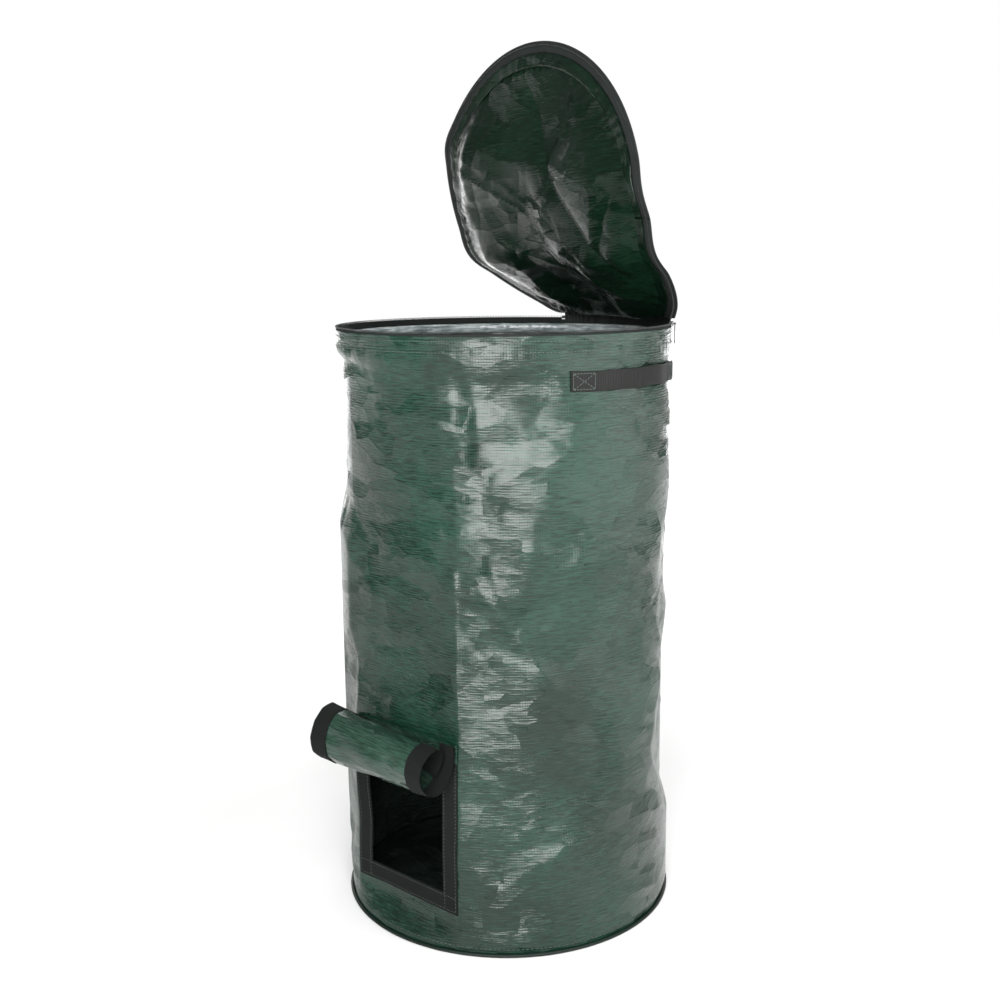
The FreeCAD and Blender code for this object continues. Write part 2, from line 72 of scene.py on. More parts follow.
# %% Measure the parts that the cloth follows
wall_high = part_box("bag_wall")[1]
RADIUS, HEIGHT = wall_high.x, wall_high.z
tape_low, tape_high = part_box("window_tape_left")
WINDOW_HALF, FLAP_HALF = -tape_high.x, -tape_low.x
FLAT_Y, HOOK_TAPE = -tape_high.y, tape_high.y - tape_low.y
TAPE_FOOT = tape_low.z
SILL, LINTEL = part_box("window_tape_bottom")[1].z, tape_high.z
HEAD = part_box("window_tape_top")[1].z
SLEEVE_LOW, SLEEVE_HIGH = (corner.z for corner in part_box("rim_sleeve"))
CLOTH = 0.6 * MM
print(f"radius {RADIUS:.4f}, height {HEIGHT:.4f}, flat front at y {-FLAT_Y:.4f}")
print(f"window {2 * WINDOW_HALF:.3f} wide, from {SILL:.3f} to {LINTEL:.3f} high")

# %% [markdown]
# ## The camera and the studio
# The bag stands on a pale floor under soft light. Laminated cloth shows what it mirrors, so the lamps
# matter as much as its colour: a dark side facing a plain surround, and a bright side facing two tall
# softboxes. The camera stands a little higher than the bag's rim and looks slightly down.

# %% Place the camera
CAMERA_DISTANCE, CAMERA_AZIMUTH, CAMERA_HEIGHT = 1.6936, 41.5, 0.8832
CAMERA_YAW, CAMERA_TILT, CAMERA_ROLL = 41.74, 10.89, 0.57
SENSOR_MM, LENS_MM = 36.0, 44.87


def turned_about(degrees, axis):
    """Rotation by an angle in degrees about one axis, as a 4 x 4 matrix."""
    return Matrix.Rotation(math.radians(degrees), 4, axis)


def round_place(distance, azimuth, height):
    """Point at a distance from the bag's axis; azimuth 0 is in front of the window, and +90 is at +X."""
    angle = math.radians(azimuth)
    return (distance * math.sin(angle), -distance * math.cos(angle), height)


lens = bpy.data.cameras.new("studio_camera")
lens.sensor_width, lens.lens = SENSOR_MM, LENS_MM
lens.clip_start, lens.clip_end = 0.05, 60.0
camera = bpy.data.objects.new("studio_camera", lens)
bpy.context.scene.collection.objects.link(camera)
camera.matrix_world = (
    Matrix.Translation(round_place(CAMERA_DISTANCE, CAMERA_AZIMUTH, CAMERA_HEIGHT))
    @ turned_about(CAMERA_YAW, "Z") @ turned_about(90 - CAMERA_TILT, "X") @ turned_about(-CAMERA_ROLL, "Z")
)
bpy.context.scene.camera = camera
bpy.context.scene.view_settings.view_transform = "Standard"
print("camera at", tuple(round(x, 3) for x in camera.location))

# %% Add the softboxes
SOFTBOXES = [
    # name, distance, azimuth from the camera, middle height, width, height, power in watts
    ("front_softbox", 1.45, -6.0, 1.15, 1.00, 1.70, 64.0),
    ("side_softbox", 1.45, 66.0, 1.10, 1.75, 1.75, 22.0),
    ("back_softbox", 2.4, 180.0, 1.2, 3.2, 2.0, 62.0),
    ("top_softbox", 0.9, 150.0, 2.3, 1.2, 1.2, 12.0),
]
HIGHEST_AIM = 0.9            # lamps that hang higher than this look down at it


def add_softbox(name, distance, azimuth, height, width, tall, power):
    """Rectangular lamp that faces the middle of the bag from a distance and an angle round it."""
    lamp = bpy.data.lights.new(name, "AREA")
    lamp.shape, lamp.size, lamp.size_y, lamp.energy = "RECTANGLE", width, tall, power
    rig = bpy.data.objects.new(name, lamp)
    place = Vector(round_place(distance, CAMERA_AZIMUTH + azimuth, height))
    aim = Vector((0, 0, min(height, HIGHEST_AIM))) - place
    rig.matrix_world = Matrix.Translation(place) @ aim.to_track_quat("-Z", "Y").to_matrix().to_4x4()
    rig.visible_camera = False
    bpy.context.scene.collection.objects.link(rig)
    return rig


for row in SOFTBOXES:
    add_softbox(*row)
print("lamps:", len(SOFTBOXES))

# %% [markdown]
# ## How a finish is built
# Each finish is a small tree of shader nodes round one Principled shader. One function adds a node, with
# its settings and what feeds it, and one turns a paint-chart colour into the linear light that the
# renderer works in. Patterns read the piece's own UV map, which is in metres, so a pattern's scale is
# one divided by its real size.

# %% Two helpers for every material
def srgb(code):
    """Linear RGBA of an sRGB hex code: c/12.92 for dark channels, ((c + 0.055)/1.055)^2.4 for the rest."""
    channels = np.array([int(code[i:i + 2], 16) for i in (1, 3, 5)]) / 255
    linear = np.where(channels <= 0.04045, channels / 12.92, ((channels + 0.055) / 1.055) ** 2.4)
    return (*linear.tolist(), 1.0)


def add(tree, kind, inputs=None, **settings):
    """Adds one shader node: settings are its properties, inputs are values or other nodes' outputs."""
    made = tree.nodes.new("ShaderNode" + kind)
    for name, value in settings.items():
        setattr(made, name, value)
    for socket, value in (inputs or {}).items():
        if isinstance(value, bpy.types.NodeSocket):
            tree.links.new(value, made.inputs[socket])
        else:
            made.inputs[socket].default_value = value
    return made


def start_material(name, roughness, ior=1.5, metallic=0.0):
    """New material with a Principled shader, and the tree to add its pattern to."""
    material = bpy.data.materials.new(name)
    material.use_nodes = True
    shader = material.node_tree.nodes["Principled BSDF"]
    shader.inputs["Roughness"].default_value = roughness
    shader.inputs["Metallic"].default_value = metallic
    if not metallic:
        shader.inputs["IOR"].default_value = ior
    return material, material.node_tree, shader


print("dark green is", [round(x, 3) for x in srgb("#1f3a30")])

# %% [markdown]
# The surround is a plain white all round. The camera sees it at full strength, and the cloth mirrors a
# dimmer one, so that the softboxes stand out in the gloss.

# %% Light the surround
SURROUND_STRENGTH = 0.24
surround = bpy.data.worlds.new("white_surround")
surround.use_nodes = True
sky = surround.node_tree
backdrop = sky.nodes["Background"]
seen = add(sky, "LightPath").outputs["Is Camera Ray"]
level = add(sky, "MapRange", {"Value": seen, "To Min": SURROUND_STRENGTH, "To Max": 1.0}).outputs["Result"]
sky.links.new(level, backdrop.inputs["Strength"])
backdrop.inputs["Color"].default_value = (1, 1, 1, 1)
bpy.context.scene.world = surround
print("surround lit:", surround.name)

# %% [markdown]
# ## Laminated woven polyethylene
# Flat tapes about 2.5 mm wide are woven and then coated with a clear film. The film gives a wet-looking
# gloss that breaks wherever the cloth is crinkled; the weave shows through as fine lines, stronger
# across the cloth than along it. So the material has three layers of detail: small tilted facets with
# sharp creases between them, the grooves between tapes, darkened with painted shade, and streaks where
# tapes differ in colour.

# %% Make the cloth finish
TAPE_PITCH = 3.4 * MM       # tapes are 2.5 mm wide; drawn a little coarser, so that they show
CRINKLE_CELL = 34.0 * MM    # usual distance between creases in handled cloth
SMALL_CELL = 15.0 * MM      # smaller creases, in patches
CREASE_WIDTH = 3.5 * MM     # a sharp crease is a millimetre wide; drawn wider, so that it shows
CREASE_DEPTH = 0.14 * MM
FACET_TILT = 0.26           # slope of the steepest facets; each cell of the pattern is one tilted facet
CELL_SHAPE = (0.55, 1.5, 1.0)  # cells are stretched along one direction and squeezed across it
WARP = 22.0 * MM            # how far the cells' straight edges wander
WEAVE_HEIGHT = 0.20 * MM
STREAKS = (50.0, 520.0, 50.0)  # per metre along, up and out of the cloth: streaks 20 mm long and 2 mm high
ACROSS_SHARPNESS, ALONG_SHARPNESS = 0.45, 0.25  # lower powers make narrower grooves between tapes


def woven_cloth(name, dark, light, roughness, crinkle=1.0, weave=1.0, ior=1.48):
    """Film-coated tape cloth in two shades; crinkle and weave scale the height of those two patterns."""
    material, tree, shader = start_material(name, roughness, ior)
    where = add(tree, "TexCoord").outputs["UV"]
    warp = add(tree, "TexNoise", {"Vector": where, "Scale": 14.0, "Detail": 3.0}).outputs["Color"]
    bent = add(tree, "VectorMath", {0: where, 1: add(tree, "VectorMath", {0: warp, 1: (WARP, WARP, WARP)},
               operation="MULTIPLY").outputs[0]}, operation="ADD").outputs[0]
    patch = add(tree, "TexNoise", {"Vector": where, "Scale": 9.0, "Detail": 2.0}).outputs["Fac"]
    patch = add(tree, "MapRange", {"Value": patch, "From Min": 0.40, "From Max": 0.62}).outputs["Result"]
    tilted, lines = [], []
    for cell, slant in ((CRINKLE_CELL, 38), (SMALL_CELL, -30)):
        leaning = add(tree, "Mapping", {"Vector": bent, "Rotation": (0, 0, math.radians(slant)),
                      "Scale": CELL_SHAPE}).outputs[0]
        facet = add(tree, "TexVoronoi", {"Vector": leaning, "Scale": 1 / cell, "Randomness": 1.0},
                    voronoi_dimensions="2D")
        tilt = add(tree, "VectorMath", {0: facet.outputs["Color"], 1: (0.5, 0.5, 0.5)}, operation="SUBTRACT")
        arm = add(tree, "VectorMath", {0: leaning, 1: facet.outputs["Position"]}, operation="SUBTRACT")
        flat_arm = add(tree, "VectorMath", {0: arm.outputs[0], 1: (1, 1, 0)}, operation="MULTIPLY")
        tilted.append(add(tree, "VectorMath", {0: tilt.outputs[0], 1: flat_arm.outputs[0]},
                      operation="DOT_PRODUCT").outputs["Value"])
        edge = add(tree, "TexVoronoi", {"Vector": leaning, "Scale": 1 / cell, "Randomness": 1.0},
                   feature="DISTANCE_TO_EDGE", voronoi_dimensions="2D").outputs["Distance"]
        lines.append(add(tree, "MapRange", {"Value": edge, "From Min": 0.0, "From Max": CREASE_WIDTH / cell,
                     "To Min": CREASE_DEPTH / FACET_TILT, "To Max": 0.0}).outputs["Result"])
    fine = add(tree, "Math", {0: tilted[1], 1: patch, 2: lines[0]}, operation="MULTIPLY_ADD").outputs[0]
    fine = add(tree, "Math", {0: lines[1], 1: patch, 2: fine}, operation="MULTIPLY_ADD").outputs[0]
    folds = add(tree, "Math", {0: tilted[0], 1: fine}, operation="ADD").outputs[0]
    crumpled = add(tree, "Bump", {"Height": folds, "Strength": 1.0, "Distance": FACET_TILT * crinkle})
    scaled = add(tree, "VectorMath", {0: where, "Scale": math.pi / TAPE_PITCH}, operation="SCALE").outputs[0]
    waves = add(tree, "VectorMath", {0: scaled}, operation="SINE").outputs[0]
    humps = add(tree, "VectorMath", {0: waves}, operation="ABSOLUTE").outputs[0]
    sides = add(tree, "SeparateXYZ", {0: humps})
    across = add(tree, "Math", {0: sides.outputs["Y"], 1: ACROSS_SHARPNESS}, operation="POWER").outputs[0]
    along = add(tree, "Math", {0: sides.outputs["X"], 1: ALONG_SHARPNESS}, operation="POWER").outputs[0]
    grooves = add(tree, "Math", {0: across, 1: along}, operation="MINIMUM").outputs[0]
    stretched = add(tree, "Mapping", {"Vector": where, "Scale": STREAKS}).outputs[0]
    streak = add(tree, "TexNoise", {"Vector": stretched, "Scale": 1.0, "Detail": 2.0}).outputs["Fac"]
    threads = add(tree, "Math", {0: grooves, 1: streak}, operation="MULTIPLY").outputs[0]
    height = add(tree, "Math", {0: streak, 1: 0.9, 2: threads}, operation="MULTIPLY_ADD").outputs[0]
    woven = add(tree, "Bump", {"Height": height, "Strength": 1.0, "Distance": WEAVE_HEIGHT * weave,
                "Normal": crumpled.outputs[0]})
    mottle = add(tree, "TexNoise", {"Vector": where, "Scale": 5.0, "Detail": 4.0}).outputs["Fac"]
    share = add(tree, "Math", {0: streak, 1: mottle}, operation="MULTIPLY").outputs[0]
    share = add(tree, "MapRange", {"Value": share, "From Min": 0.15, "From Max": 0.34}).outputs["Result"]
    colour = add(tree, "Mix", {0: share, 6: srgb(dark), 7: srgb(light)}, data_type="RGBA").outputs[2]
    # Painted shade: the colour is darkened to 0.72 of itself in the grooves between tapes.
    shade = add(tree, "MapRange", {"Value": grooves, "From Min": 0.2, "From Max": 0.75,
                "To Min": 0.72, "To Max": 1.0}).outputs["Result"]
    colour = add(tree, "VectorMath", {0: colour, "Scale": shade}, operation="SCALE").outputs[0]
    tree.links.new(colour, shader.inputs["Base Color"])
    gloss = add(tree, "MapRange", {"Value": mottle, "From Min": 0.3, "From Max": 0.7,
                "To Min": roughness - 0.07, "To Max": roughness + 0.09}).outputs["Result"]
    tree.links.new(gloss, shader.inputs["Roughness"])
    tree.links.new(woven.outputs[0], shader.inputs["Normal"])
    return material


WALL_CLOTH = woven_cloth("woven_polyethylene_green", "#071910", "#163429", 0.20, crinkle=1.15, weave=1.9)
# The inside faces of the wall and the base: the cloth's own grey-green inner side, darkened nearly to black
# as painted shade inside the bag.
INSIDE_CLOTH_WITH_PAINTED_SHADE = woven_cloth("woven_polyethylene_lining", "#090d0c", "#242c29", 0.24, crinkle=1.0)
# The rim hem's pale silver-grey is painted reflection: the bright surround mirrored by the glossy cloth
# inside the mouth.
RIM_HEM_PAINTED_REFLECTION = woven_cloth("woven_polyethylene_hem", "#565f60", "#a3abab", 0.22, crinkle=1.8)
# The lid is the wall's cloth, given a darker copy as painted shade: its underside stands in shadow.
LID_CLOTH_PAINTED_SHADE = woven_cloth("woven_polyethylene_lid", "#040e08", "#0a1d12", 0.22, crinkle=1.4, weave=1.3,
                        ior=1.30)
# The flap is the wall's cloth, given a lighter, greyer copy as painted sheen for the roll's pale highlight
# streaks.
FLAP_CLOTH_PAINTED_SHEEN = woven_cloth("woven_polyethylene_flap", "#16271f", "#294237", 0.15, crinkle=1.3)
print("cloth finishes:", [m.name for m in (WALL_CLOTH, INSIDE_CLOTH_WITH_PAINTED_SHADE, RIM_HEM_PAINTED_REFLECTION, LID_CLOTH_PAINTED_SHADE, FLAP_CLOTH_PAINTED_SHEEN)])

# %% [markdown]
# ## Tapes, webbing, thread, zip and metal
# Hook-and-loop tape is a dull pile of tiny nylon hairs, so it is rough and shows a fine random grain.
# Webbing and zip tape are woven in ribs. The zip's slider is black painted zinc, and the ferrule is
# bare steel. Object coordinates are used on parts that stay as the CAD made them.

# %% Make the narrow-goods and hardware finishes
def ribbed(name, dark, light, rib, roughness, coordinates="UV", height=0.25):
    """Narrow woven tape: ribs at a real spacing across it, hairs as fine noise, slow fading, and rib troughs
    darker than crests as painted shade.
    """
    material, tree, shader = start_material(name, roughness, ior=1.3)
    where = add(tree, "TexCoord").outputs[coordinates]
    ribs = add(tree, "TexWave", {"Vector": where, "Scale": math.pi / 10 / rib, "Distortion": 0.6,
               "Detail": 1.0}, wave_type="BANDS", bands_direction="Y").outputs["Fac"]
    hairs = add(tree, "TexNoise", {"Vector": where, "Scale": 900.0, "Detail": 2.0}).outputs["Fac"]
    surface = add(tree, "Math", {0: hairs, 1: 0.6, 2: ribs}, operation="MULTIPLY_ADD").outputs[0]
    bump = add(tree, "Bump", {"Height": surface, "Strength": 1.0, "Distance": height * MM})
    fading = add(tree, "TexNoise", {"Vector": where, "Scale": 35.0, "Detail": 3.0}).outputs["Fac"]
    # The colour follows the ribs times the slow fading: crests lighter and troughs darker, painted shade.
    share = add(tree, "Math", {0: fading, 1: ribs}, operation="MULTIPLY").outputs[0]
    colour = add(tree, "Mix", {0: share, 6: srgb(dark), 7: srgb(light)}, data_type="RGBA").outputs[2]
    tree.links.new(colour, shader.inputs["Base Color"])
    tree.links.new(bump.outputs[0], shader.inputs["Normal"])
    return material


def hard(name, dark, light, roughness, metallic=0.0, grain=400.0, height=0.05):
    """Moulded, drawn or painted part: slow colour change, fine surface grain and worn, shinier spots."""
    material, tree, shader = start_material(name, roughness, metallic=metallic)
    where = add(tree, "TexCoord").outputs["Object"]
    slow = add(tree, "TexNoise", {"Vector": where, "Scale": 60.0, "Detail": 4.0}).outputs["Fac"]
    fine = add(tree, "TexNoise", {"Vector": where, "Scale": grain, "Detail": 2.0}).outputs["Fac"]
    colour = add(tree, "Mix", {0: slow, 6: srgb(dark), 7: srgb(light)}, data_type="RGBA").outputs[2]
    worn = add(tree, "MapRange", {"Value": slow, "From Min": 0.35, "From Max": 0.65,
               "To Min": roughness - 0.08, "To Max": roughness + 0.1}).outputs["Result"]
    bump = add(tree, "Bump", {"Height": fine, "Strength": 1.0, "Distance": height * MM})
    tree.links.new(colour, shader.inputs["Base Color"])
    tree.links.new(worn, shader.inputs["Roughness"])
    tree.links.new(bump.outputs[0], shader.inputs["Normal"])
    return material


HOOK = ribbed("nylon_hook_tape", "#060807", "#131716", 1.6 * MM, 0.85, height=0.4)
LOOP = ribbed("nylon_loop_tape", "#060808", "#121615", 1.4 * MM, 0.9, height=0.35)
ZIP_TAPE = ribbed("polyester_zip_tape", "#0e1110", "#252a29", 1.2 * MM, 0.75)
WEBBING = ribbed("polypropylene_webbing", "#0b0b0b", "#1c1d1b", 2.2 * MM, 0.6, height=0.5)
WELT = ribbed("polyethylene_welt", "#0e1613", "#1d2b25", 2.0 * MM, 0.45, coordinates="Object")
HINGE_TAPE = ribbed("polyester_hinge_tape", "#141716", "#2c3130", 1.2 * MM, 0.75, coordinates="Object")
THREAD = hard("bonded_polyester_thread", "#1f2925", "#4d5853", 0.6, grain=1500.0)
COIL = hard("nylon_zip_coil", "#121413", "#2c2f2e", 0.4, grain=900.0)
ZINC = hard("black_painted_zinc", "#151616", "#2b2c2c", 0.35, metallic=0.6)
ROD = hard("polypropylene_rod", "#b9bcb6", "#d6d8d2", 0.45)
STEEL = hard("rolled_steel_tube", "#8f9396", "#b6babd", 0.32, metallic=1.0)
STOP = hard("moulded_nylon_stop", "#1a1c1c", "#303333", 0.45)
print("finishes made:", len(bpy.data.materials))

# %% [markdown]
# ## From arrays to meshes
# A sheet of cloth is a grid of points. Its back is the same grid, moved in by the cloth's thickness, and
# the two are joined along every edge, so that each piece is a closed shell. Faces whose corners fall
# together, as at the tip of a rounded piece, are merged away.

# %% Helpers that turn grids into closed cloth
def grid_faces(rows, columns, keep=None):
    """Quads of a rows x columns grid of points, numbered row by row; keep leaves out some of them."""
    index = np.arange(rows * columns).reshape(rows, columns)
    quads = np.stack([index[:-1, :-1], index[:-1, 1:], index[1:, 1:], index[1:, :-1]], -1)
    return quads[keep] if keep is not None else quads.reshape(-1, 4)


def shell_faces(rows, columns, keep=None):
    """Faces of a closed shell: the grid, its back turned over, and a strip along every free edge."""
    quads = grid_faces(rows, columns, keep)
    total = rows * columns
    edges = quads[:, [0, 1, 1, 2, 2, 3, 3, 0]].reshape(-1, 2)
    free = edges[~np.isin(edges[:, 0] * total + edges[:, 1], edges[:, 1] * total + edges[:, 0])]
    sides = np.stack([free[:, 1], free[:, 0], free[:, 0] + total, free[:, 1] + total], -1)
    return np.vstack([quads, quads[:, ::-1] + total, sides])


def unit(vectors):
    """Vectors divided by their lengths."""
    return vectors / np.maximum(np.linalg.norm(vectors, axis=-1, keepdims=True), 1e-12)


def grid_normals(points):
    """Normal at each grid point: the cross product of the central differences along columns and rows."""
    return unit(np.cross(np.gradient(points, axis=1), np.gradient(points, axis=0)))


SAME_POINT = 2e-6           # points nearer than this are one point


def make_piece(name, points, faces, uv, material, slot, normals=None, materials=()):
    """Mesh object from arrays of points, quads and one UV pair a point; without normals, equal points are
    merged."""
    used = np.unique(faces)
    number = np.zeros(len(points), int)
    number[used] = np.arange(len(used))
    mesh = bpy.data.meshes.new(name)
    mesh.from_pydata(points[used], [], number[faces])
    layer = mesh.uv_layers.new(name="UVMap")
    layer.data.foreach_set("uv", uv[faces.ravel()].astype(np.float32).ravel())
    for finish in (material, *materials):
        mesh.materials.append(finish)
    mesh.polygons.foreach_set("use_smooth", np.ones(len(faces), bool))
    if normals is None:
        merge = bmesh.new()
        merge.from_mesh(mesh)
        bmesh.ops.remove_doubles(merge, verts=merge.verts, dist=SAME_POINT)
        bmesh.ops.dissolve_degenerate(merge, edges=merge.edges, dist=SAME_POINT)
        merge.to_mesh(mesh)
        merge.free()
    else:
        mesh.normals_split_custom_set_from_vertices(normals[used].tolist())
    made = bpy.data.objects.new(name, mesh)
    bpy.context.scene.collection.objects.link(made)
    return made


def make_cloth(name, face, normal, uv, material, slot, keep=None, lining=None):
    """Closed shell of cloth from the grid of its face and its normals; lining is the finish of its back."""
    rows, columns = face.shape[:2]
    points = np.concatenate([face.reshape(-1, 3), (face - normal * CLOTH).reshape(-1, 3)])
    normals = np.concatenate([normal.reshape(-1, 3), -normal.reshape(-1, 3)])
    faces = shell_faces(rows, columns, keep)
    both = np.concatenate([uv.reshape(-1, 2)] * 2)
    made = make_piece(name, points, faces, both, material, slot, normals, (lining,) if lining else ())
    if lining:
        count = len(grid_faces(rows, columns, keep))
        second = np.zeros(len(faces), np.int32)
        second[count:2 * count] = 1
        made.data.polygons.foreach_set("material_index", second)
    return made


print("a 3 x 3 sheet has", len(shell_faces(3, 3)), "faces")

# %% [markdown]
# ## The wall's shape
# The tube is round, but the stiff tapes of the window draw its front flat, and that flat runs up the
# bag and fades near the rim. Handled cloth keeps its creases: long soft buckles, crisp facets that
# meet in sharp lines, and a few strong diagonal folds. All of it is one height map, wrapped round the
# tube, so that tapes and stitches can lie on the same relief.

# %% Work out the relief map
rng = np.random.default_rng(20)
ROUND = 2 * math.pi * RADIUS
MAP_COLUMNS, MAP_ROWS = 480, 272
map_s, map_z = np.meshgrid(np.arange(MAP_COLUMNS) / MAP_COLUMNS * ROUND - ROUND / 2,
                           np.linspace(0, HEIGHT, MAP_ROWS))


def smooth_step(value, low, high):
    """0 below low, 1 above high, and 3t^2 - 2t^3 between them."""
    t = np.clip((value - low) / (high - low), 0, 1)
    return t * t * (3 - 2 * t)


def wrapped(difference):
    """Distance round the tube, taken the short way."""
    return (difference + ROUND / 2) % ROUND - ROUND / 2


def buckles(count, steepest, height):
    """Sum of waves round the tube whose crests lean a little, each with its own phase."""
    total = np.zeros_like(map_s)
    for _ in range(count):
        waves, lean, phase = rng.integers(3, steepest), rng.normal(0, 7.0), rng.uniform(0, 2 * math.pi)
        total += rng.normal(0, height) * np.cos(waves * map_s / RADIUS + lean * map_z + phase)
    return total


def facets(spacing, tilt, roundness):
    """Crisp pillows: the highest, at each point, of many small tilted domes strewn over the cloth."""
    count = int(ROUND * HEIGHT / spacing ** 2)
    centre_s, centre_z = rng.uniform(-ROUND / 2, ROUND / 2, count), rng.uniform(0, HEIGHT, count)
    slope_s, slope_z = rng.normal(0, tilt, (2, count))
    rise = rng.normal(0, tilt * spacing / 4, count)
    highest = np.full(map_s.shape, -1.0)
    for k in range(count):
        ds, dz = wrapped(map_s - centre_s[k]), map_z - centre_z[k]
        dome = rise[k] + slope_s[k] * ds + slope_z[k] * dz - roundness * (ds * ds + dz * dz)
        highest = np.maximum(highest, dome)
    return highest - highest.mean()


def crease(s0, z0, s1, z1, depth, width):
    """Sharp line from one place to another: depth x exp(-distance / width), fading past its two ends."""
    length = math.hypot(s1 - s0, z1 - z0)
    ds, dz = wrapped(map_s - s0), map_z - z0
    along = (ds * (s1 - s0) + dz * (z1 - z0)) / length
    aside = (dz * (s1 - s0) - ds * (z1 - z0)) / length
    over = np.maximum(np.maximum(-along, along - length), 0)
    return depth * np.exp(-np.abs(aside) / width - (over / (2 * width)) ** 2)


def strewn_creases(count, depth):
    """Many short creases; most run across the tube or on the slant."""
    total = np.zeros_like(map_s)
    for _ in range(count):
        s0, z0, length = rng.uniform(-ROUND / 2, ROUND / 2), rng.uniform(0.03, 0.77), rng.uniform(0.04, 0.16)
        slant = rng.choice([rng.normal(0, 0.25), rng.normal(0.7, 0.25), rng.normal(-0.8, 0.3)])
        total += crease(s0, z0, s0 + length * math.cos(slant), z0 + length * math.sin(slant),
                        rng.normal(0, depth), rng.uniform(0.005, 0.012))
    return total


def at_angle(degrees):
    """Distance round the tube of an angle from the middle of the front."""
    return math.radians(degrees) * RADIUS


STRONG_CREASES = [  # from (angle, height) to (angle, height), depth and width in metres
    (-10, 0.76, -9, 0.53, -0.0030, 0.012),
    (-1.7, 0.70, 24, 0.545, -0.0028, 0.012),
    (24.5, 0.30, 24, 0.78, 0.0035, 0.022),
    (30, 0.75, 62, 0.66, -0.0020, 0.010),
    (35, 0.60, 80, 0.52, -0.0022, 0.010),
    (52, 0.47, 28, 0.36, -0.0020, 0.010),
    (62, 0.42, 100, 0.30, -0.0022, 0.012),
    (88, 0.70, 112, 0.50, -0.0022, 0.010),
    (-30, 0.72, -38, 0.34, -0.0025, 0.010),
    (-46, 0.60, -30, 0.40, 0.0020, 0.010),
    (-22, 0.50, -30, 0.30, -0.0022, 0.012),
    (160, 0.70, 190, 0.40, -0.0025, 0.012),
    (215, 0.60, 200, 0.25, -0.0025, 0.012),
]
SMOOTHED = 0.55             # share of the relief that is pulled out beside the window
relief = buckles(16, 12, 0.8 * MM)
relief += 0.8 * facets(0.062, 0.075, 0.4) - 0.8 * facets(0.050, 0.080, 0.5)
relief += 0.6 * facets(0.030, 0.120, 1.2) - 0.5 * facets(0.034, 0.120, 1.0)
relief += strewn_creases(220, 1.3 * MM)
smooth_from = smooth_step(map_s, at_angle(-14), at_angle(-6))
smooth_to = 1 - smooth_step(map_s, at_angle(18), at_angle(27))
relief *= 1 - SMOOTHED * (smooth_from * smooth_to)
for a0, z0, a1, z1, depth, width in STRONG_CREASES:
    relief += crease(at_angle(a0), z0, at_angle(a1), z1, depth, width)
print(f"relief from {relief.min() / MM:.1f} to {relief.max() / MM:.1f} mm")

# %% [markdown]
# The relief has to die away where the cloth is sewn to something stiff: at the base seam, at the rim,
# round the window's tapes and under the handles. Near the base and the rim the thread gathers the cloth
# into small puckers instead.

# %% Hold the relief down at the seams
FOOT_HELD, FOOT_FREE, RIM_FREE, RIM_HELD = 0.004, 0.050, 0.738, 0.772  # heights
TAPE_HOLDS, TAPE_LETS_GO = 0.098, 0.150  # the window's tapes hold the cloth this far to each side
WINDOW_SHARE, STRAP_SHARE = 0.72, 0.90   # how much of the relief the window's tapes and a strap take away
held = smooth_step(map_z, FOOT_HELD, FOOT_FREE) * (1 - smooth_step(map_z, RIM_FREE, RIM_HELD))
near_window = (smooth_step(map_s, -TAPE_LETS_GO, -TAPE_HOLDS)
               * (1 - smooth_step(map_s, TAPE_HOLDS, TAPE_LETS_GO))
               * smooth_step(map_z, TAPE_FOOT - 0.05, TAPE_FOOT - 0.005)
               * (1 - smooth_step(map_z, HEAD, HEAD + 0.07)))
held *= 1 - WINDOW_SHARE * near_window
STRAP_LOW, STRAP_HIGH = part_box("handle_strap_right")
strap_z = (STRAP_LOW.z + STRAP_HIGH.z) / 2
for side in (90, -90):
    beside = np.abs(wrapped(map_s - at_angle(side))) / RADIUS
    under_strap = (1 - smooth_step(beside, 0.50, 0.62)) * np.exp(-((map_z - strap_z) / 0.026) ** 4)
    held *= 1 - STRAP_SHARE * under_strap
relief *= held
DEEPEST, HIGHEST = -8 * MM, 3 * MM
relief = np.clip(relief - 1.2 * MM * held, DEEPEST, HIGHEST)
PUCKER_PITCH, PUCKER_HEIGHT = 14 * MM, 0.3 * MM
pucker = np.sin(2 * math.pi * map_s / PUCKER_PITCH + 1.5 * np.sin(map_s / 0.05))
gathered = np.exp(-((map_z - 0.014) / 0.007) ** 2) + np.exp(-((map_z - RIM_HELD) / 0.008) ** 2)
relief += PUCKER_HEIGHT * (1 + pucker) * gathered
relief -= np.maximum(relief, 0) * near_window


def relief_at(s, z):
    """Height of the relief at places on the cloth: the mean of the map's four nearest points, each weighted
    by its nearness."""
    column = (np.asarray(s) + ROUND / 2) / ROUND * MAP_COLUMNS
    row = np.clip(np.asarray(z) / HEIGHT, 0, 1) * (MAP_ROWS - 1)
    c0, r0 = np.floor(column).astype(int), np.minimum(np.floor(row).astype(int), MAP_ROWS - 2)
    fc, fr = column - c0, row - r0
    left, right = c0 % MAP_COLUMNS, (c0 + 1) % MAP_COLUMNS
    low = relief[r0, left] * (1 - fc) + relief[r0, right] * fc
    high = relief[r0 + 1, left] * (1 - fc) + relief[r0 + 1, right] * fc
    return low * (1 - fr) + high * fr


FLAT_ROUNDS = 0.004, 0.042, 0.292, 0.765   # round foot, flat from, flat to, round again
SWAY = 3.5 * MM


def near_height(z):
    """How far the left tape of the window sways out, as a share: out near 200 mm and in near 135 mm."""
    return np.exp(-((z - 0.205) / 0.035) ** 2) - 0.9 * np.exp(-((z - 0.135) / 0.03) ** 2)


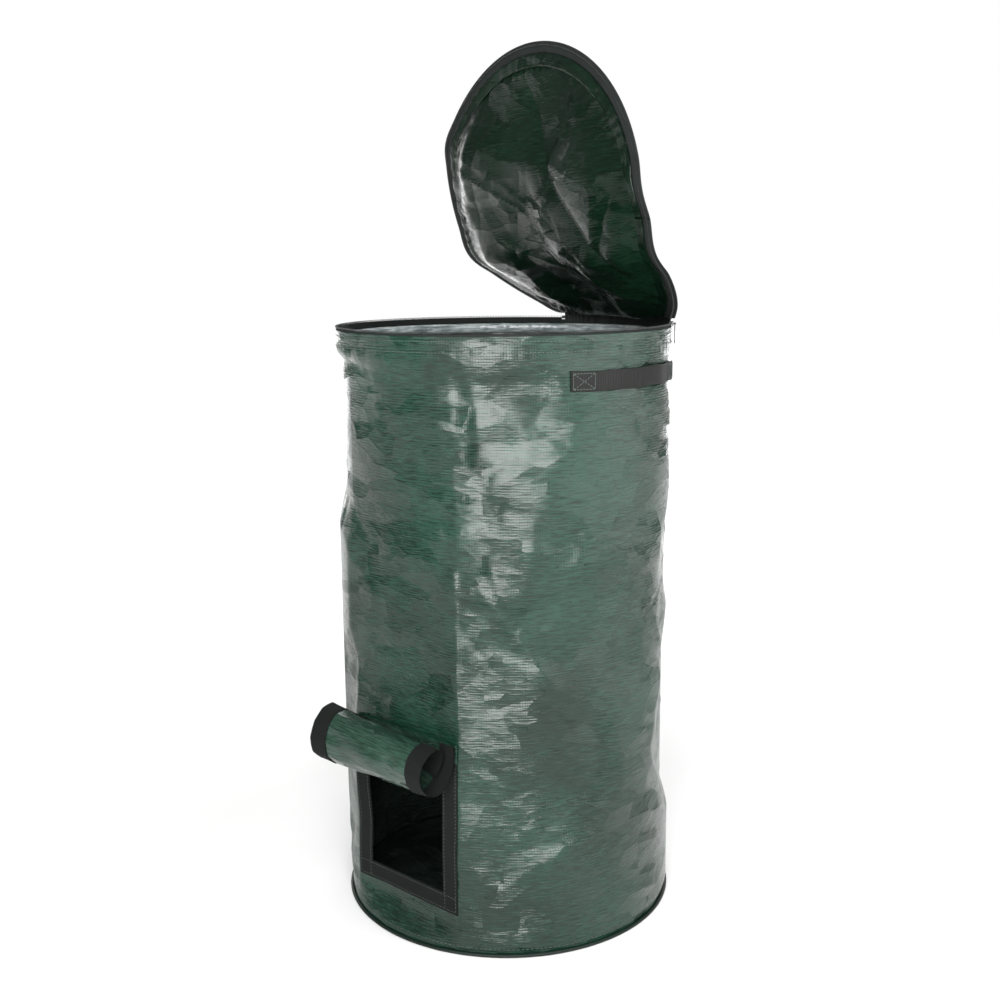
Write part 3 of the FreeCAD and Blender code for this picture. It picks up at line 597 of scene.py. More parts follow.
def wall_place(angle, z, lift=0.0):
    """Point on the wall: x = R sin a, y = -R cos a, drawn to the flat front in the middle of the bag, and
    moved out along the tube's normal by the relief and by lift. Angle 0 is the middle of the front."""
    angle, z = np.broadcast_arrays(np.asarray(angle, float), np.asarray(z, float))
    foot, flat_from, flat_to, round_again = FLAT_ROUNDS
    fading = np.clip((z - flat_to) / (round_again - flat_to), 0, 1) ** 1.2
    flat = smooth_step(z, foot, flat_from) * (1 - fading)
    depth = RADIUS * np.cos(angle)
    drawn = depth + (np.minimum(depth, FLAT_Y) - depth) * flat
    side = np.where(depth > FLAT_Y, 1 - 0.85 * flat, 1.0)
    height = relief_at(angle * RADIUS, z) + lift
    x = RADIUS * np.sin(angle)
    sway = SWAY * np.exp(-((x + 0.082) / 0.03) ** 2) * (depth > 0) * near_height(z)
    y = -(drawn + np.cos(angle * side) * height)
    return np.stack([x + np.sin(angle) * side * height - sway, y, z], -1)


print("middle of the front at mid height:", wall_place(0.0, 0.4).round(4))

# %% [markdown]
# ## The wall's cloth
# The tube is made as two closed shells, because one mesh of this fineness would be too heavy. They
# meet left of the window and at the back. Grid lines are set on the window's edges, and the quads
# inside the window are left out. Normals are worked out past each shell's ends, so no seam shows.

# %% Cut the wall from the grid
window_angle = math.asin(WINDOW_HALF / RADIUS)
columns = np.concatenate([np.linspace(-math.pi, -window_angle, 164)[:-1],
                          np.linspace(-window_angle, window_angle, 35)[:-1],
                          np.linspace(window_angle, math.pi, 164)[:-1]])
rows = np.concatenate([np.linspace(0, SILL, 21)[:-1], np.linspace(SILL, LINTEL, 50)[:-1],
                       np.linspace(LINTEL, HEIGHT, 146)])
FRONT_FROM, FRONT_TO = math.radians(-60), math.radians(150)


def wall_half(name, start, end):
    """Closed shell of the wall between two angles; angles past the back carry on round the tube."""
    turns = np.concatenate([columns, columns + 2 * math.pi])
    chosen = np.where((turns >= start - 1e-9) & (turns <= end + 1e-9))[0]
    padded = np.concatenate([chosen[:1] - 1, chosen, chosen[-1:] + 1])
    angles, heights = np.meshgrid(turns[padded], rows)
    face = wall_place(angles, heights)
    normal = grid_normals(face)[:, 1:-1]
    face, angles, heights = face[:, 1:-1], angles[:, 1:-1], heights[:, 1:-1]
    middle_angle = (angles[:-1, :-1] + angles[:-1, 1:]) / 2
    middle_z = (heights[:-1, :-1] + heights[1:, :-1]) / 2
    hole = (np.abs(middle_angle) < window_angle) & (middle_z > SILL) & (middle_z < LINTEL)
    uv = np.stack([angles * RADIUS, heights], -1)
    made = make_cloth(name, face, normal, uv, WALL_CLOTH, "woven_pe_green", keep=~hole, lining=INSIDE_CLOTH_WITH_PAINTED_SHADE)
    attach(made, "bag")
    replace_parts(made, "bag_wall")
    return made


split_front = columns[np.argmin(abs(columns - FRONT_FROM))]
split_back = columns[np.argmin(abs(columns - FRONT_TO))]
wall_front = wall_half("bag_wall_front", split_front, split_back)
wall_back = wall_half("bag_wall_back", split_back, split_front + 2 * math.pi)
print("wall quads:", len(wall_front.data.polygons), len(wall_back.data.polygons))

# %% [markdown]
# ## The base
# The floor of the bag is a disc of the same cloth, sewn in with a welt. It lies on the ground, so it
# only lifts a little between creases. A disc is a grid of rings: radius one way, angle the other.

# %% Make the base cloth
base_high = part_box("base_panel")[1]


def base_cloth():
    """Disc of cloth: radius r and angle a give (r cos a, r sin a), raised by waves that fade at the edge."""
    radii, angles = np.meshgrid(np.linspace(0.0, base_high.x, 34), np.linspace(0, 2 * math.pi, 145),
                                indexing="ij")
    x, y = radii * np.cos(angles), radii * np.sin(angles)
    waves = np.abs(np.sin(23 * x + 9 * y) * np.sin(17 * y - 12 * x)) + 0.4 * np.abs(np.sin(60 * x - 35 * y))
    lift = 5 * MM * waves * smooth_step(base_high.x - radii, 0.0, 0.05)
    face = np.stack([x, y, base_high.z + lift], -1)
    points = np.concatenate([face.reshape(-1, 3), (face - [0, 0, CLOTH]).reshape(-1, 3)])
    uv = np.concatenate([np.stack([x, y], -1).reshape(-1, 2)] * 2)
    made = make_piece("base_cloth", points, shell_faces(*radii.shape), uv, INSIDE_CLOTH_WITH_PAINTED_SHADE, "woven_pe_green",
                      materials=(WALL_CLOTH,))
    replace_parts(made, "base_panel")
    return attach(made, "bag")


base = base_cloth()
print("base faces:", len(base.data.polygons))

# %% [markdown]
# ## Cloth that folds on hinges
# The lid and the flap are each one sheet of cloth, but the model moves them as flat panels on fold
# lines. So each sheet is cut into strips, one across each fold, and a strip bends from one panel to the
# next. The strip is drawn spread flat, where it is easy to lay out, and then taken back to rest: the
# turns of the folds before it are undone, and at its own fold it turns by a share that grows smoothly
# from 0 to 1 across the fold. Because that share depends on where the point ends up, it is found by
# trying again a few times.

# %% Take flat cloth to where it lies at rest
BEND_ROUNDS = 60


def turn(points, joint, angle):
    """Points turned by an angle, one for all or one each, about a joint's axis at rest:
    p cos t + (axis x p) sin t + axis (axis . p)(1 - cos t), with p measured from the pivot."""
    pivot, axis = np.array(JOINTS[joint]["pos_m"]), unit(np.array(JOINTS[joint]["axis"]))
    arm = points - pivot
    cosine, sine = np.cos(angle), np.sin(angle)
    if np.ndim(angle):
        cosine, sine = cosine[..., None], sine[..., None]
    return pivot + arm * cosine + np.cross(axis, arm) * sine + axis * (arm @ axis)[..., None] * (1 - cosine)


def share_along(points, start, end):
    """The bend's share at each point: a smooth step of its place between start and end."""
    span = end - start
    return smooth_step((points - start) @ span / (span @ span), 0, 1)


def fold_span(chain, k, across, reach):
    """Where strip k's bend starts and ends at rest; across is the flat direction over its fold."""
    direction = across
    for joint, angle in chain[:k]:
        pivot = np.array(JOINTS[joint]["pos_m"])
        direction = turn(direction + pivot, joint, -angle) - pivot
    joint, angle = chain[k]
    pivot = np.array(JOINTS[joint]["pos_m"])
    direction = turn(direction + pivot, joint, -angle / 2) - pivot
    return pivot - reach * unit(direction), pivot + reach * unit(direction)


def lay_up(flat, chain, k, span):
    """Strip k of a sheet that is spread flat, brought to rest: earlier folds undone, then its own bend."""
    shape, points = flat.shape, flat.reshape(-1, 3)
    for joint, angle in chain[:k]:
        points = turn(points, joint, -angle)
    joint, angle = chain[k]
    share = share_along(points, *span)
    for _ in range(BEND_ROUNDS):
        rest = turn(points, joint, -share * angle)
        share = 0.5 * share + 0.5 * share_along(rest, *span)
    return rest.reshape(shape)


# each fold of the lid, and how far it turns from rest until the lid is flat
LID_CHAIN = [(name, math.radians(angle)) for name, angle in
             (("lid_open", -39.0), ("lid_bend_middle", -32.5), ("lid_bend_upper", -21.0))]
hinge = np.array(JOINTS["lid_open"]["pos_m"])
HINGE_DISTANCE, LID_PLANE = math.hypot(hinge[0], hinge[1]), hinge[2]
OUT = np.array([hinge[0], hinge[1], 0]) / HINGE_DISTANCE
ALONG = np.array([-OUT[1], OUT[0], 0])
UP = np.array([0, 0, 1.0])
LID_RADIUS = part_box("lid_back_panel")[1].y
LID_NAMES = ["lower", "middle", "upper"]
SKEW = math.radians(12.0)   # the top fold runs this much aslant
OVER_TOP_FOLD = -OUT * math.cos(SKEW) - ALONG * math.sin(SKEW)
LID_SPANS = [fold_span(LID_CHAIN, 0, -OUT, 24 * MM), fold_span(LID_CHAIN, 1, -OUT, 42 * MM),
             fold_span(LID_CHAIN, 2, OVER_TOP_FOLD, 35 * MM)]
print("lid radius", round(LID_RADIUS, 4), "spans:", [np.round(s, 3).tolist() for s in LID_SPANS])

# %% [markdown]
# ## The lid
# The lid is a round cloth with a zip tape round its edge and a turned hem inside that. Open, it stands
# on its sewn edge and its weight folds it twice. Its cloth is slack between the hems, so it has a few
# long creases and many small facets. Places on it are given flat: a along the hinge, w away from it.

# %% Shape the lid's slack
SPLITS = [(0.060, 0.0), (0.198, math.radians(5.5))]  # lines between strips: distance from the hinge, skew


def split_at(index, a):
    """Distance from the hinge of the line between two strips, at a place along the hinge."""
    distance, skew = SPLITS[index]
    return distance + a * math.tan(skew)


LID_CREASES = [  # (a, w) to (a, w), depth and width in metres
    (0.015, 0.375, -0.045, 0.25, 0.0060, 0.016),
    (-0.045, 0.25, -0.125, 0.13, 0.0070, 0.018),
    (0.09, 0.15, -0.02, 0.10, -0.0040, 0.012),
    (0.16, 0.27, 0.04, 0.20, -0.0030, 0.012),
    (-0.10, 0.33, -0.02, 0.19, -0.0030, 0.012),
    (0.10, 0.34, 0.14, 0.20, 0.0030, 0.014),
    (-0.06, 0.10, -0.13, 0.04, -0.0040, 0.010),
    (0.06, 0.06, -0.07, 0.05, 0.0040, 0.010),
    (0.12, 0.05, 0.02, 0.035, -0.0030, 0.009),
]
DOME_HEIGHT, SAG = 7 * MM, 5 * MM


def hem_ripple(angle):
    """Wave round the lid whose crests crowd together and spread apart, as thread gathers cloth."""
    return np.sin(70 * angle + 5 * np.sin(7 * angle))


def lid_relief(a, w):
    """Height of the lid's slack cloth over its plane: two shallow domes, strong creases and the same facets
    as the wall's map, all fading to nothing at the hem."""
    from_middle = np.hypot(a, w - HINGE_DISTANCE)
    slack = smooth_step(LID_RADIUS - 0.014 - from_middle, 0.0, 0.06)
    total = DOME_HEIGHT * np.sin(9 * a + 14 * w) * np.cos(11 * a - 8 * w) - SAG
    for a0, w0, a1, w1, depth, width in LID_CREASES:
        length = math.hypot(a1 - a0, w1 - w0)
        along = ((a - a0) * (a1 - a0) + (w - w0) * (w1 - w0)) / length
        aside = ((w - w0) * (a1 - a0) - (a - a0) * (w1 - w0)) / length
        over = np.maximum(np.maximum(-along, along - length), 0)
        total = total + depth * np.exp(-np.abs(aside) / width - (over / (2 * width)) ** 2)
    total = total + 1.1 * relief_at(a + 0.35, w + 0.22)
    angle = np.arctan2(a, w - HINGE_DISTANCE)
    gathers = 0.5 * MM * hem_ripple(angle) * (1 + np.sin(5 * angle + 1))
    return total * slack + gathers * np.exp(-((LID_RADIUS - 0.030 - from_middle) / 0.009) ** 2)


def lid_flat(a, w, height):
    """Point of the spread lid: hinge + a ALONG - w OUT + height UP."""
    return hinge + a[..., None] * ALONG - w[..., None] * OUT + height[..., None] * UP


TIP_GAP = 0.4 * MM          # rows stop short of the disc's two tips


def lid_strip_grid(k):
    """Flat places of strip k's cloth: rows from one split to the next, columns across each row's chord.
    A row's chord depends on its own place, so the two are found by trying again a few times."""
    rows_here, columns_here = (44, 90, 96)[k], 150
    across = np.linspace(-1, 1, columns_here + 2)
    first = np.linspace(0, 1, rows_here)
    if k == 2:
        first = 1 - (1 - first) ** 1.6
    share, side = np.meshgrid(first, across, indexing="ij")
    low_end, high_end = HINGE_DISTANCE - LID_RADIUS + TIP_GAP, HINGE_DISTANCE + LID_RADIUS - TIP_GAP
    a = side * LID_RADIUS
    for _ in range(30):
        low = np.full_like(a, low_end) if k == 0 else split_at(k - 1, a)
        high = np.full_like(a, high_end) if k == 2 else split_at(k, a)
        w = low + (high - low) * share
        a = side * np.sqrt(np.maximum(LID_RADIUS ** 2 - (w - HINGE_DISTANCE) ** 2, 1e-9))
    return a, w


def make_lid_cloth(k):
    """One strip of the lid's cloth, bent over its fold."""
    a, w = lid_strip_grid(k)
    step = 0.8 * MM

    def place(da, dw):
        return lay_up(lid_flat(a + da, w + dw, lid_relief(a + da, w + dw)), LID_CHAIN, k, LID_SPANS[k])

    face = place(0, 0)
    normal = unit(np.cross(place(step, 0) - place(-step, 0), place(0, step) - place(0, -step)))
    uv = np.stack([a, w], -1)
    made = make_cloth("lid_cloth_" + LID_NAMES[k], face, normal, uv, LID_CLOTH_PAINTED_SHADE, "woven_pe_lid")
    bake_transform(made)
    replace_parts(made, "lid_panel_" + LID_NAMES[k], *(["lid_back_panel"] if k == 0 else []))
    return made


lid_cloths = [make_lid_cloth(k) for k in range(3)]
print("lid cloth quads:", [len(made.data.polygons) for made in lid_cloths])

# %% [markdown]
# The zip tape and the hem are rings. On a ring, a place is a radius and an angle, and the strips' lines
# cut it at angles worked out from cos(angle + skew) = (distance - D) cos(skew) / radius.

# %% Lay the lid's tape and hem
NEAR_HINGE = 0.8 * MM       # the rings start this far from the hinge's line


def ring_angle(distance, skew, radius):
    """Angles at which a straight line over the lid crosses a ring: to the +a side, and to the -a side."""
    reach = np.arccos(np.clip((distance - HINGE_DISTANCE) * math.cos(skew) / radius, -1, 1))
    return reach - skew, -reach - skew


def ring_grids(k, radii, columns_here):
    """Grids of (radius, angle) that cover strip k of a ring: one on each side, or one over the far end."""
    low = (NEAR_HINGE, 0.0) if k == 0 else SPLITS[k - 1]
    low_plus, low_minus = ring_angle(*low, radii)
    share = np.linspace(0, 1, columns_here)[None, :]
    if k == 2:
        return [low_minus[:, None] + (low_plus - low_minus)[:, None] * share]
    high_plus, high_minus = ring_angle(*SPLITS[k], radii)
    return [low_minus[:, None] + (high_minus - low_minus)[:, None] * share,
            high_plus[:, None] + (low_plus - high_plus)[:, None] * share]


CROWN = 0.35 * MM


def ring_piece(name, k, inner, outer, rows_here, columns_here, height, wave, thickness, material, slot, node):
    """Strip k of a flat ring on the lid: height is its distance from the lid's plane, and wave ripples it.
    Its lower face is crowned: lowest in the middle of its width, with thin edges."""
    radii = np.linspace(inner, outer, rows_here)
    points, faces, uvs, shift = [], [], [], 0
    for angles in ring_grids(k, radii, columns_here):
        a = radii[:, None] * np.sin(angles)
        w = HINGE_DISTANCE + radii[:, None] * np.cos(angles)
        ripple = wave * hem_ripple(angles) * (0.6 + 0.4 * np.sin(5 * angles + 1))
        crown = np.sqrt(np.sin(math.pi * (radii[:, None] - inner) / (outer - inner))) * CROWN
        for below in (thickness + crown, 0 * crown):
            level = height + ripple - below + 0 * a
            points.append(lay_up(lid_flat(a, w, level), LID_CHAIN, k, LID_SPANS[k]).reshape(-1, 3))
            uvs.append(np.stack([angles * outer, radii[:, None] + 0 * angles], -1).reshape(-1, 2))
        faces.append(shell_faces(*angles.shape) + shift)
        shift += 2 * angles.size
    made = make_piece(name, *map(np.concatenate, (points, faces, uvs)), material, slot)
    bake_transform(made)
    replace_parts(made, node)
    return made


TAPE_EDGE, HEM_WIDTH = LID_RADIUS - 14 * MM, 17 * MM
for k in range(3):
    ring_piece("lid_zip_tape_cloth_" + LID_NAMES[k], k, TAPE_EDGE, LID_RADIUS + 0.6 * MM, 7, 130,
               -0.35 * MM, 0.0, 0.7 * MM, ZIP_TAPE, "zip_tape", "lid_zip_tape_" + LID_NAMES[k])
    ring_piece("lid_hem_cloth_" + LID_NAMES[k], k, TAPE_EDGE - HEM_WIDTH, TAPE_EDGE - 0.3 * MM, 8, 200,
               -1.5 * MM, 0.6 * MM, 0.5 * MM, LID_CLOTH_PAINTED_SHADE, "woven_pe_lid", "lid_hem_" + LID_NAMES[k])

# %% [markdown]
# ## The zip
# A coil zip is one nylon thread wound into hundreds of small loops along a tape. Each loop here is a
# small ring of square section, set on the coil's line, so that a close view shows teeth and not a rod.

# %% Wind the coils
LOOP_PITCH, LOOP_RADIUS, THREAD_RADIUS = 2.4 * MM, 0.95 * MM, 0.32 * MM
ZIP_RADIUS = 224 * MM       # the coils' line round the bag
TAPE_THICK, COIL_RADIUS = 0.8 * MM, 1.2 * MM


def wind(centres, tangents, ups):
    """Rings of thread round a line: each has 8 points round it and 4 round its thread, and leans a little."""
    around, section = np.arange(8) * math.pi / 4, np.arange(4) * math.pi / 2 + math.pi / 4
    sides = np.cross(tangents, ups)
    spoke = (np.cos(around)[None, :, None] * sides[:, None] + np.sin(around)[None, :, None] * ups[:, None])
    lean = tangents[:, None] * (0.35 * LOOP_RADIUS * np.cos(around))[None, :, None]
    middle = centres[:, None] + spoke * LOOP_RADIUS + lean
    ring = (middle[:, :, None] + THREAD_RADIUS * (np.cos(section)[:, None] * spoke[:, :, None]
            + np.sin(section)[:, None] * tangents[:, None, None]))
    base = np.arange(32).reshape(8, 4)
    ahead, up = np.roll(base, -1, 0), np.roll(base, -1, 1)
    quads = np.stack([base, up, np.roll(ahead, -1, 1), ahead], -1).reshape(-1, 4)
    faces = (quads[None] + 32 * np.arange(len(centres))[:, None, None]).reshape(-1, 4)
    uv = np.repeat(np.stack([np.arange(len(centres)) * LOOP_PITCH, np.zeros(len(centres))], -1), 32, axis=0)
    return ring.reshape(-1, 3), faces, uv


def circle_frames(angles, radius, z):
    """Places, directions and ups along a level circle round the bag's axis; angles from +X."""
    cosine, sine, level = np.cos(angles), np.sin(angles), np.zeros_like(angles)
    return (np.stack([radius * cosine, radius * sine, level + z], -1), np.stack([-sine, cosine, level], -1),
            np.stack([level, level, level + 1], -1))


rim_coil_z = JOINTS["zip_slide"]["pos_m"][2]
hinge_azimuth = math.atan2(OUT[1], OUT[0])
HINGE_GAP = math.radians(34.8)  # the zip starts this far to each side of the hinge
ZIP_START, ZIP_END = hinge_azimuth + HINGE_GAP, hinge_azimuth + 2 * math.pi - HINGE_GAP
coil_angles = np.arange(ZIP_START, ZIP_END, LOOP_PITCH / ZIP_RADIUS)
points, faces, uv = wind(*circle_frames(coil_angles, ZIP_RADIUS, rim_coil_z))
rim_coil = make_piece("rim_zip_loops", points, faces, uv, COIL, "nylon_coil")
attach(rim_coil, "bag")
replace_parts(rim_coil, "rim_zip_coil")
lid_coil_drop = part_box("lid_back_panel")[0].z - TAPE_THICK - COIL_RADIUS - LID_PLANE
for k in range(3):
    parts = []
    for grid in ring_grids(k, np.array([ZIP_RADIUS]), 2):
        start, end = grid[0, 0], grid[0, 1]
        parts.append(np.arange(start + 0.5 * LOOP_PITCH / ZIP_RADIUS, end, LOOP_PITCH / ZIP_RADIUS))
    at = np.concatenate(parts)
    spot = lid_flat(ZIP_RADIUS * np.sin(at), HINGE_DISTANCE + ZIP_RADIUS * np.cos(at),
                    np.full_like(at, lid_coil_drop))
    ahead = np.cos(at)[:, None] * ALONG + np.sin(at)[:, None] * OUT
    points, faces, uv = wind(spot, ahead, np.broadcast_to(UP, spot.shape))
    points = lay_up(points, LID_CHAIN, k, LID_SPANS[k])
    made = make_piece("lid_zip_loops_" + LID_NAMES[k], points, faces, uv, COIL, "nylon_coil")
    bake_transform(made)
    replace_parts(made, "lid_zip_coil_" + LID_NAMES[k])
print("loops on the rim:", len(coil_angles))

# %% [markdown]
# ## The window's flap
# The flap is a rectangle of cloth edged with loop tape, rolled up outwards. The fold lines
# meet far to one side, so the roll tapers. Between two folds the cloth bows out a little, which makes
# the roll look round and not twelve-sided. Places are given hanging: x across, v counted in folds.

# %% Lay out the hanging flap
PANELS = 12
flap_turns = [JOINTS["flap_unroll"]] + [JOINTS[f"flap_curl_{i}"] for i in range(2, PANELS + 1)]
FLAP_CHAIN = [(joint["name"], math.radians(max(joint["range_deg"], key=abs))) for joint in flap_turns]
PITCH, APEX = 19.2 * MM, 0.800  # from fold to fold in the middle; the fold lines meet this far to the side
APEX_DROP = APEX * math.tan(math.radians(4.0))
seam = np.array(flap_turns[0]["pos_m"])
FLAP_TOP, FLAP_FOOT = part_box("flap_head_strip")[1].z, TAPE_FOOT
ROLL_BOW, CREASE_HEIGHT, RIPPLE_HEIGHT = 0.8 * MM, 0.8 * MM, 0.3 * MM
FOLD_REACH = 8.0 * MM
print("flap seam at", seam.round(4).tolist(), "turns:", [round(math.degrees(a), 1) for _, a in FLAP_CHAIN])


def fold_height(x, v):
    """Height of fold v at a place across: seam - pitch v + x (pitch v - drop) / apex."""
    return seam[2] - PITCH * v + x * (PITCH * v - APEX_DROP) / APEX


def fold_number(x, z):
    """The other way round: v of a height."""
    return (seam[2] - z - x * APEX_DROP / APEX) / (PITCH * (1 - x / APEX))


def flap_relief(x, v):
    """Bow between folds, and long shallow creases that run slantwise over the flap."""
    bow = ROLL_BOW * (0.5 + 0.5 * np.cos(2 * math.pi * v)) * smooth_step(v, -0.3, 0.2)
    slant = (CREASE_HEIGHT * (1 + np.sin(55 * x + 1.9 * v + 0.8 * np.sin(31 * x)))
             + RIPPLE_HEIGHT * (1 + np.sin(140 * x - 1.3 * v)))
    return bow + slant * smooth_step(v, 0.2, 1.0)


def flap_flat(x, v, lift):
    """Point of the hanging flap: its plane is the seam's, and lift is towards the front."""
    return np.stack([x, seam[1] - flap_relief(x, v) - lift, fold_height(x, v)], -1)


def flap_across(k):
    """Direction over fold k, hanging: square to the fold line and down."""
    rise = (PITCH * k - APEX_DROP) / APEX
    return unit(np.array([rise, 0.0, -1.0]))


FLAP_SPANS = [fold_span(FLAP_CHAIN, k, flap_across(k), FOLD_REACH * math.cos(angle / 2))
              for k, (_, angle) in enumerate(FLAP_CHAIN)]
THIN_ROW, THINNEST_KEPT = 1e-4, 2e-4    # in folds: columns thinner than this are left out


def flap_strip(x, k, from_row=None):
    """Rows v of strip k over each column x, from from_row on if that is given. The ends follow the cloth's
    straight top and foot."""
    foot = fold_number(x, FLAP_FOOT)
    low = np.full_like(x, k - 0.5) if k else fold_number(x, FLAP_TOP)
    high = np.full_like(x, k + 0.5) if k < PANELS - 1 else foot
    if k == PANELS - 1:
        high = np.maximum(high, low + THIN_ROW)
    if k == PANELS - 2:
        high = np.minimum(high, np.maximum(foot, low + THIN_ROW))
    if from_row is not None:
        low = np.clip(from_row, low, high)
    return low, high


FLAP_ROWS = 13


def flap_patch(x0, x1, k, columns_here, lift, thickness, below=None):
    """Patch of strip k between two columns, and below a height if one is given: its face at lift over the
    flap's plane, its back, its normals and its UV. Nothing where the strip has no such patch."""
    x = np.linspace(x0, x1, columns_here)
    low, high = flap_strip(x, k, None if below is None else fold_number(x, below))
    chosen = high - low > THINNEST_KEPT
    if chosen.sum() < 2:
        return None
    x, low, high = x[chosen], low[chosen], high[chosen]
    share = np.linspace(0, 1, FLAP_ROWS)[:, None]
    v, across = low + (high - low) * share, x + 0 * share
    uv = np.stack([across, PITCH * v], -1)

    def place(dx, dv, up):
        return lay_up(flap_flat(across + dx, v + dv, up), FLAP_CHAIN, k, FLAP_SPANS[k])

    step_x, step_v = 0.5 * MM, 0.03
    right = place(step_x, 0, lift) - place(-step_x, 0, lift)
    up = place(0, -step_v, lift) - place(0, step_v, lift)
    return place(0, 0, lift), place(0, 0, lift - thickness), unit(np.cross(right, up)), uv


def flap_piece(name, patches, material, slot, nodes):
    """Joins the patches of one strip, already bent over its fold, into one piece."""
    points, normals, faces, uvs, shift = [], [], [], [], 0
    for face, back, normal, uv in patches:
        points += [face.reshape(-1, 3), back.reshape(-1, 3)]
        normals += [normal.reshape(-1, 3), -normal.reshape(-1, 3)]
        uvs += [uv.reshape(-1, 2)] * 2
        faces.append(shell_faces(*uv.shape[:2])[:, ::-1] + shift)
        shift += 2 * uv.shape[0] * uv.shape[1]
    made = make_piece(name, *map(np.concatenate, (points, faces, uvs)), material, slot,
                      normals=np.concatenate(normals))
    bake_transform(made)
    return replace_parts(made, *nodes)


# %% Roll up the flap's cloth and its loop tape
LOOP_THICK, LOOP_PROUD = 1.0 * MM, 0.4 * MM
flap_cloths = []
for k in range(PANELS):
    patch = flap_patch(-FLAP_HALF, FLAP_HALF, k, 76, CLOTH / 2, CLOTH)
    cloth = flap_piece(f"flap_cloth_{k + 1}", [patch], FLAP_CLOTH_PAINTED_SHEEN, "woven_pe_flap",
                       [f"flap_panel_{k + 1}"] + (["flap_head_strip"] if k == 0 else []))
    # The cloth's edge band takes the black loop-tape finish on both faces: under the loop tape on its inner
    # face, and as painted shade on its outer face, which darkens the roll's hollow ends.
    cloth.data.materials.append(LOOP)
    places = np.empty(len(cloth.data.loops) * 2)
    cloth.data.uv_layers[0].data.foreach_get("uv", places)
    corners = places.reshape(-1, 4, 2).mean(1)
    height = fold_height(corners[:, 0], corners[:, 1] / PITCH)
    tape_and_painted_shade_faces = (np.abs(corners[:, 0]) > WINDOW_HALF) | (height < SILL)
    cloth.data.polygons.foreach_set("material_index", tape_and_painted_shade_faces.astype(np.int32))
    flap_cloths.append(cloth)
    edges = [flap_patch(-FLAP_HALF - LOOP_PROUD, -WINDOW_HALF, k, 10, -CLOTH / 2, LOOP_THICK),
             flap_patch(WINDOW_HALF, FLAP_HALF + LOOP_PROUD, k, 10, -CLOTH / 2, LOOP_THICK),
             flap_patch(-WINDOW_HALF, WINDOW_HALF, k, 50, -CLOTH / 2, LOOP_THICK, below=SILL)]
    flap_piece(f"flap_loop_{k + 1}", [edge for edge in edges if edge], LOOP, "loop_tape",
               [f"flap_loop_tape_{k + 1}"])
    width, length = 2 * FLAP_HALF, PITCH if k else FLAP_TOP - seam[2] + PITCH / 2
print("flap strips:", len(flap_cloths))

# %% [markdown]
# ## Tapes and strips on the wall
# Everything sewn to the wall has to follow its relief, so each strip is asked of the wall's own
# function, a little further out. The window is framed in hook tape; its upright tapes run from below
# the sill to the lintel and the bottom one lies between them.

# %% Sew on the window's hook tape
CLEAR = 0.1 * MM            # what is sewn on lies this far off the wall


def wall_strip(name, angles, heights, thickness, material, slot, node):
    """Closed strip that lies on the wall, from grids of angle and height."""
    face = wall_place(angles, heights, CLEAR + thickness)
    back = wall_place(angles, heights, CLEAR)
    points = np.concatenate([face.reshape(-1, 3), back.reshape(-1, 3)])
    uv = np.concatenate([np.stack([angles * RADIUS, heights], -1).reshape(-1, 2)] * 2)
    made = make_piece(name, points, shell_faces(*angles.shape), uv, material, slot)
    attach(made, "bag")
    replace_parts(made, node)
    return made


def front_grid(x0, x1, z0, z1, across, up):
    """Angles and heights of a rectangle on the flat front."""
    x, z = np.meshgrid(np.linspace(x0, x1, across), np.linspace(z0, z1, up))
    return np.arcsin(x / RADIUS), z


wall_strip("window_hook_left", *front_grid(-FLAP_HALF, -WINDOW_HALF, TAPE_FOOT, LINTEL, 10, 70), HOOK_TAPE,
           HOOK, "hook_tape", "window_tape_left")
wall_strip("window_hook_right", *front_grid(WINDOW_HALF, FLAP_HALF, TAPE_FOOT, LINTEL, 10, 70), HOOK_TAPE,
           HOOK, "hook_tape", "window_tape_right")
between = WINDOW_HALF - CLEAR
wall_strip("window_hook_foot", *front_grid(-between, between, TAPE_FOOT, SILL, 54, 10), HOOK_TAPE,
           HOOK, "hook_tape", "window_tape_bottom")
wall_strip("window_binding", *front_grid(-FLAP_HALF, FLAP_HALF, LINTEL + 0.2 * MM, HEAD, 70, 10), 0.9 * MM,
           WALL_CLOTH, "woven_pe_green", "window_tape_top")
LAP_START, LAP_WIDTH, LAP_MARGIN = math.radians(225), 25 * MM, 9 * MM
lap_angles = np.linspace(LAP_START, LAP_START + LAP_WIDTH / RADIUS, 9)
lap_heights = np.linspace(LAP_MARGIN, HEIGHT - LAP_MARGIN, 210)
wall_strip("wall_seam_lap", *np.meshgrid(lap_angles, lap_heights), CLOTH, WALL_CLOTH, "woven_pe_green",
           "wall_seam_strip")
print("strips on the wall: 5")

# %% [markdown]
# ## Rim hem and zip tape
# A hem inside the mouth holds the hoop that keeps it round; the thread gathers the hem into puckers.
# The zip tape stands above it, a black band round the inside of the mouth from one end of the hinge to
# the other.

# %% Make the rim's hem and zip tape
def fill_ends(made):
    """Closes the open ends of a tube, and turns every face outwards."""
    work = bmesh.new()
    work.from_mesh(made.data)
    bmesh.ops.holes_fill(work, edges=[edge for edge in work.edges if edge.is_boundary])
    bmesh.ops.recalc_face_normals(work, faces=work.faces)
    work.to_mesh(made.data)
    work.free()


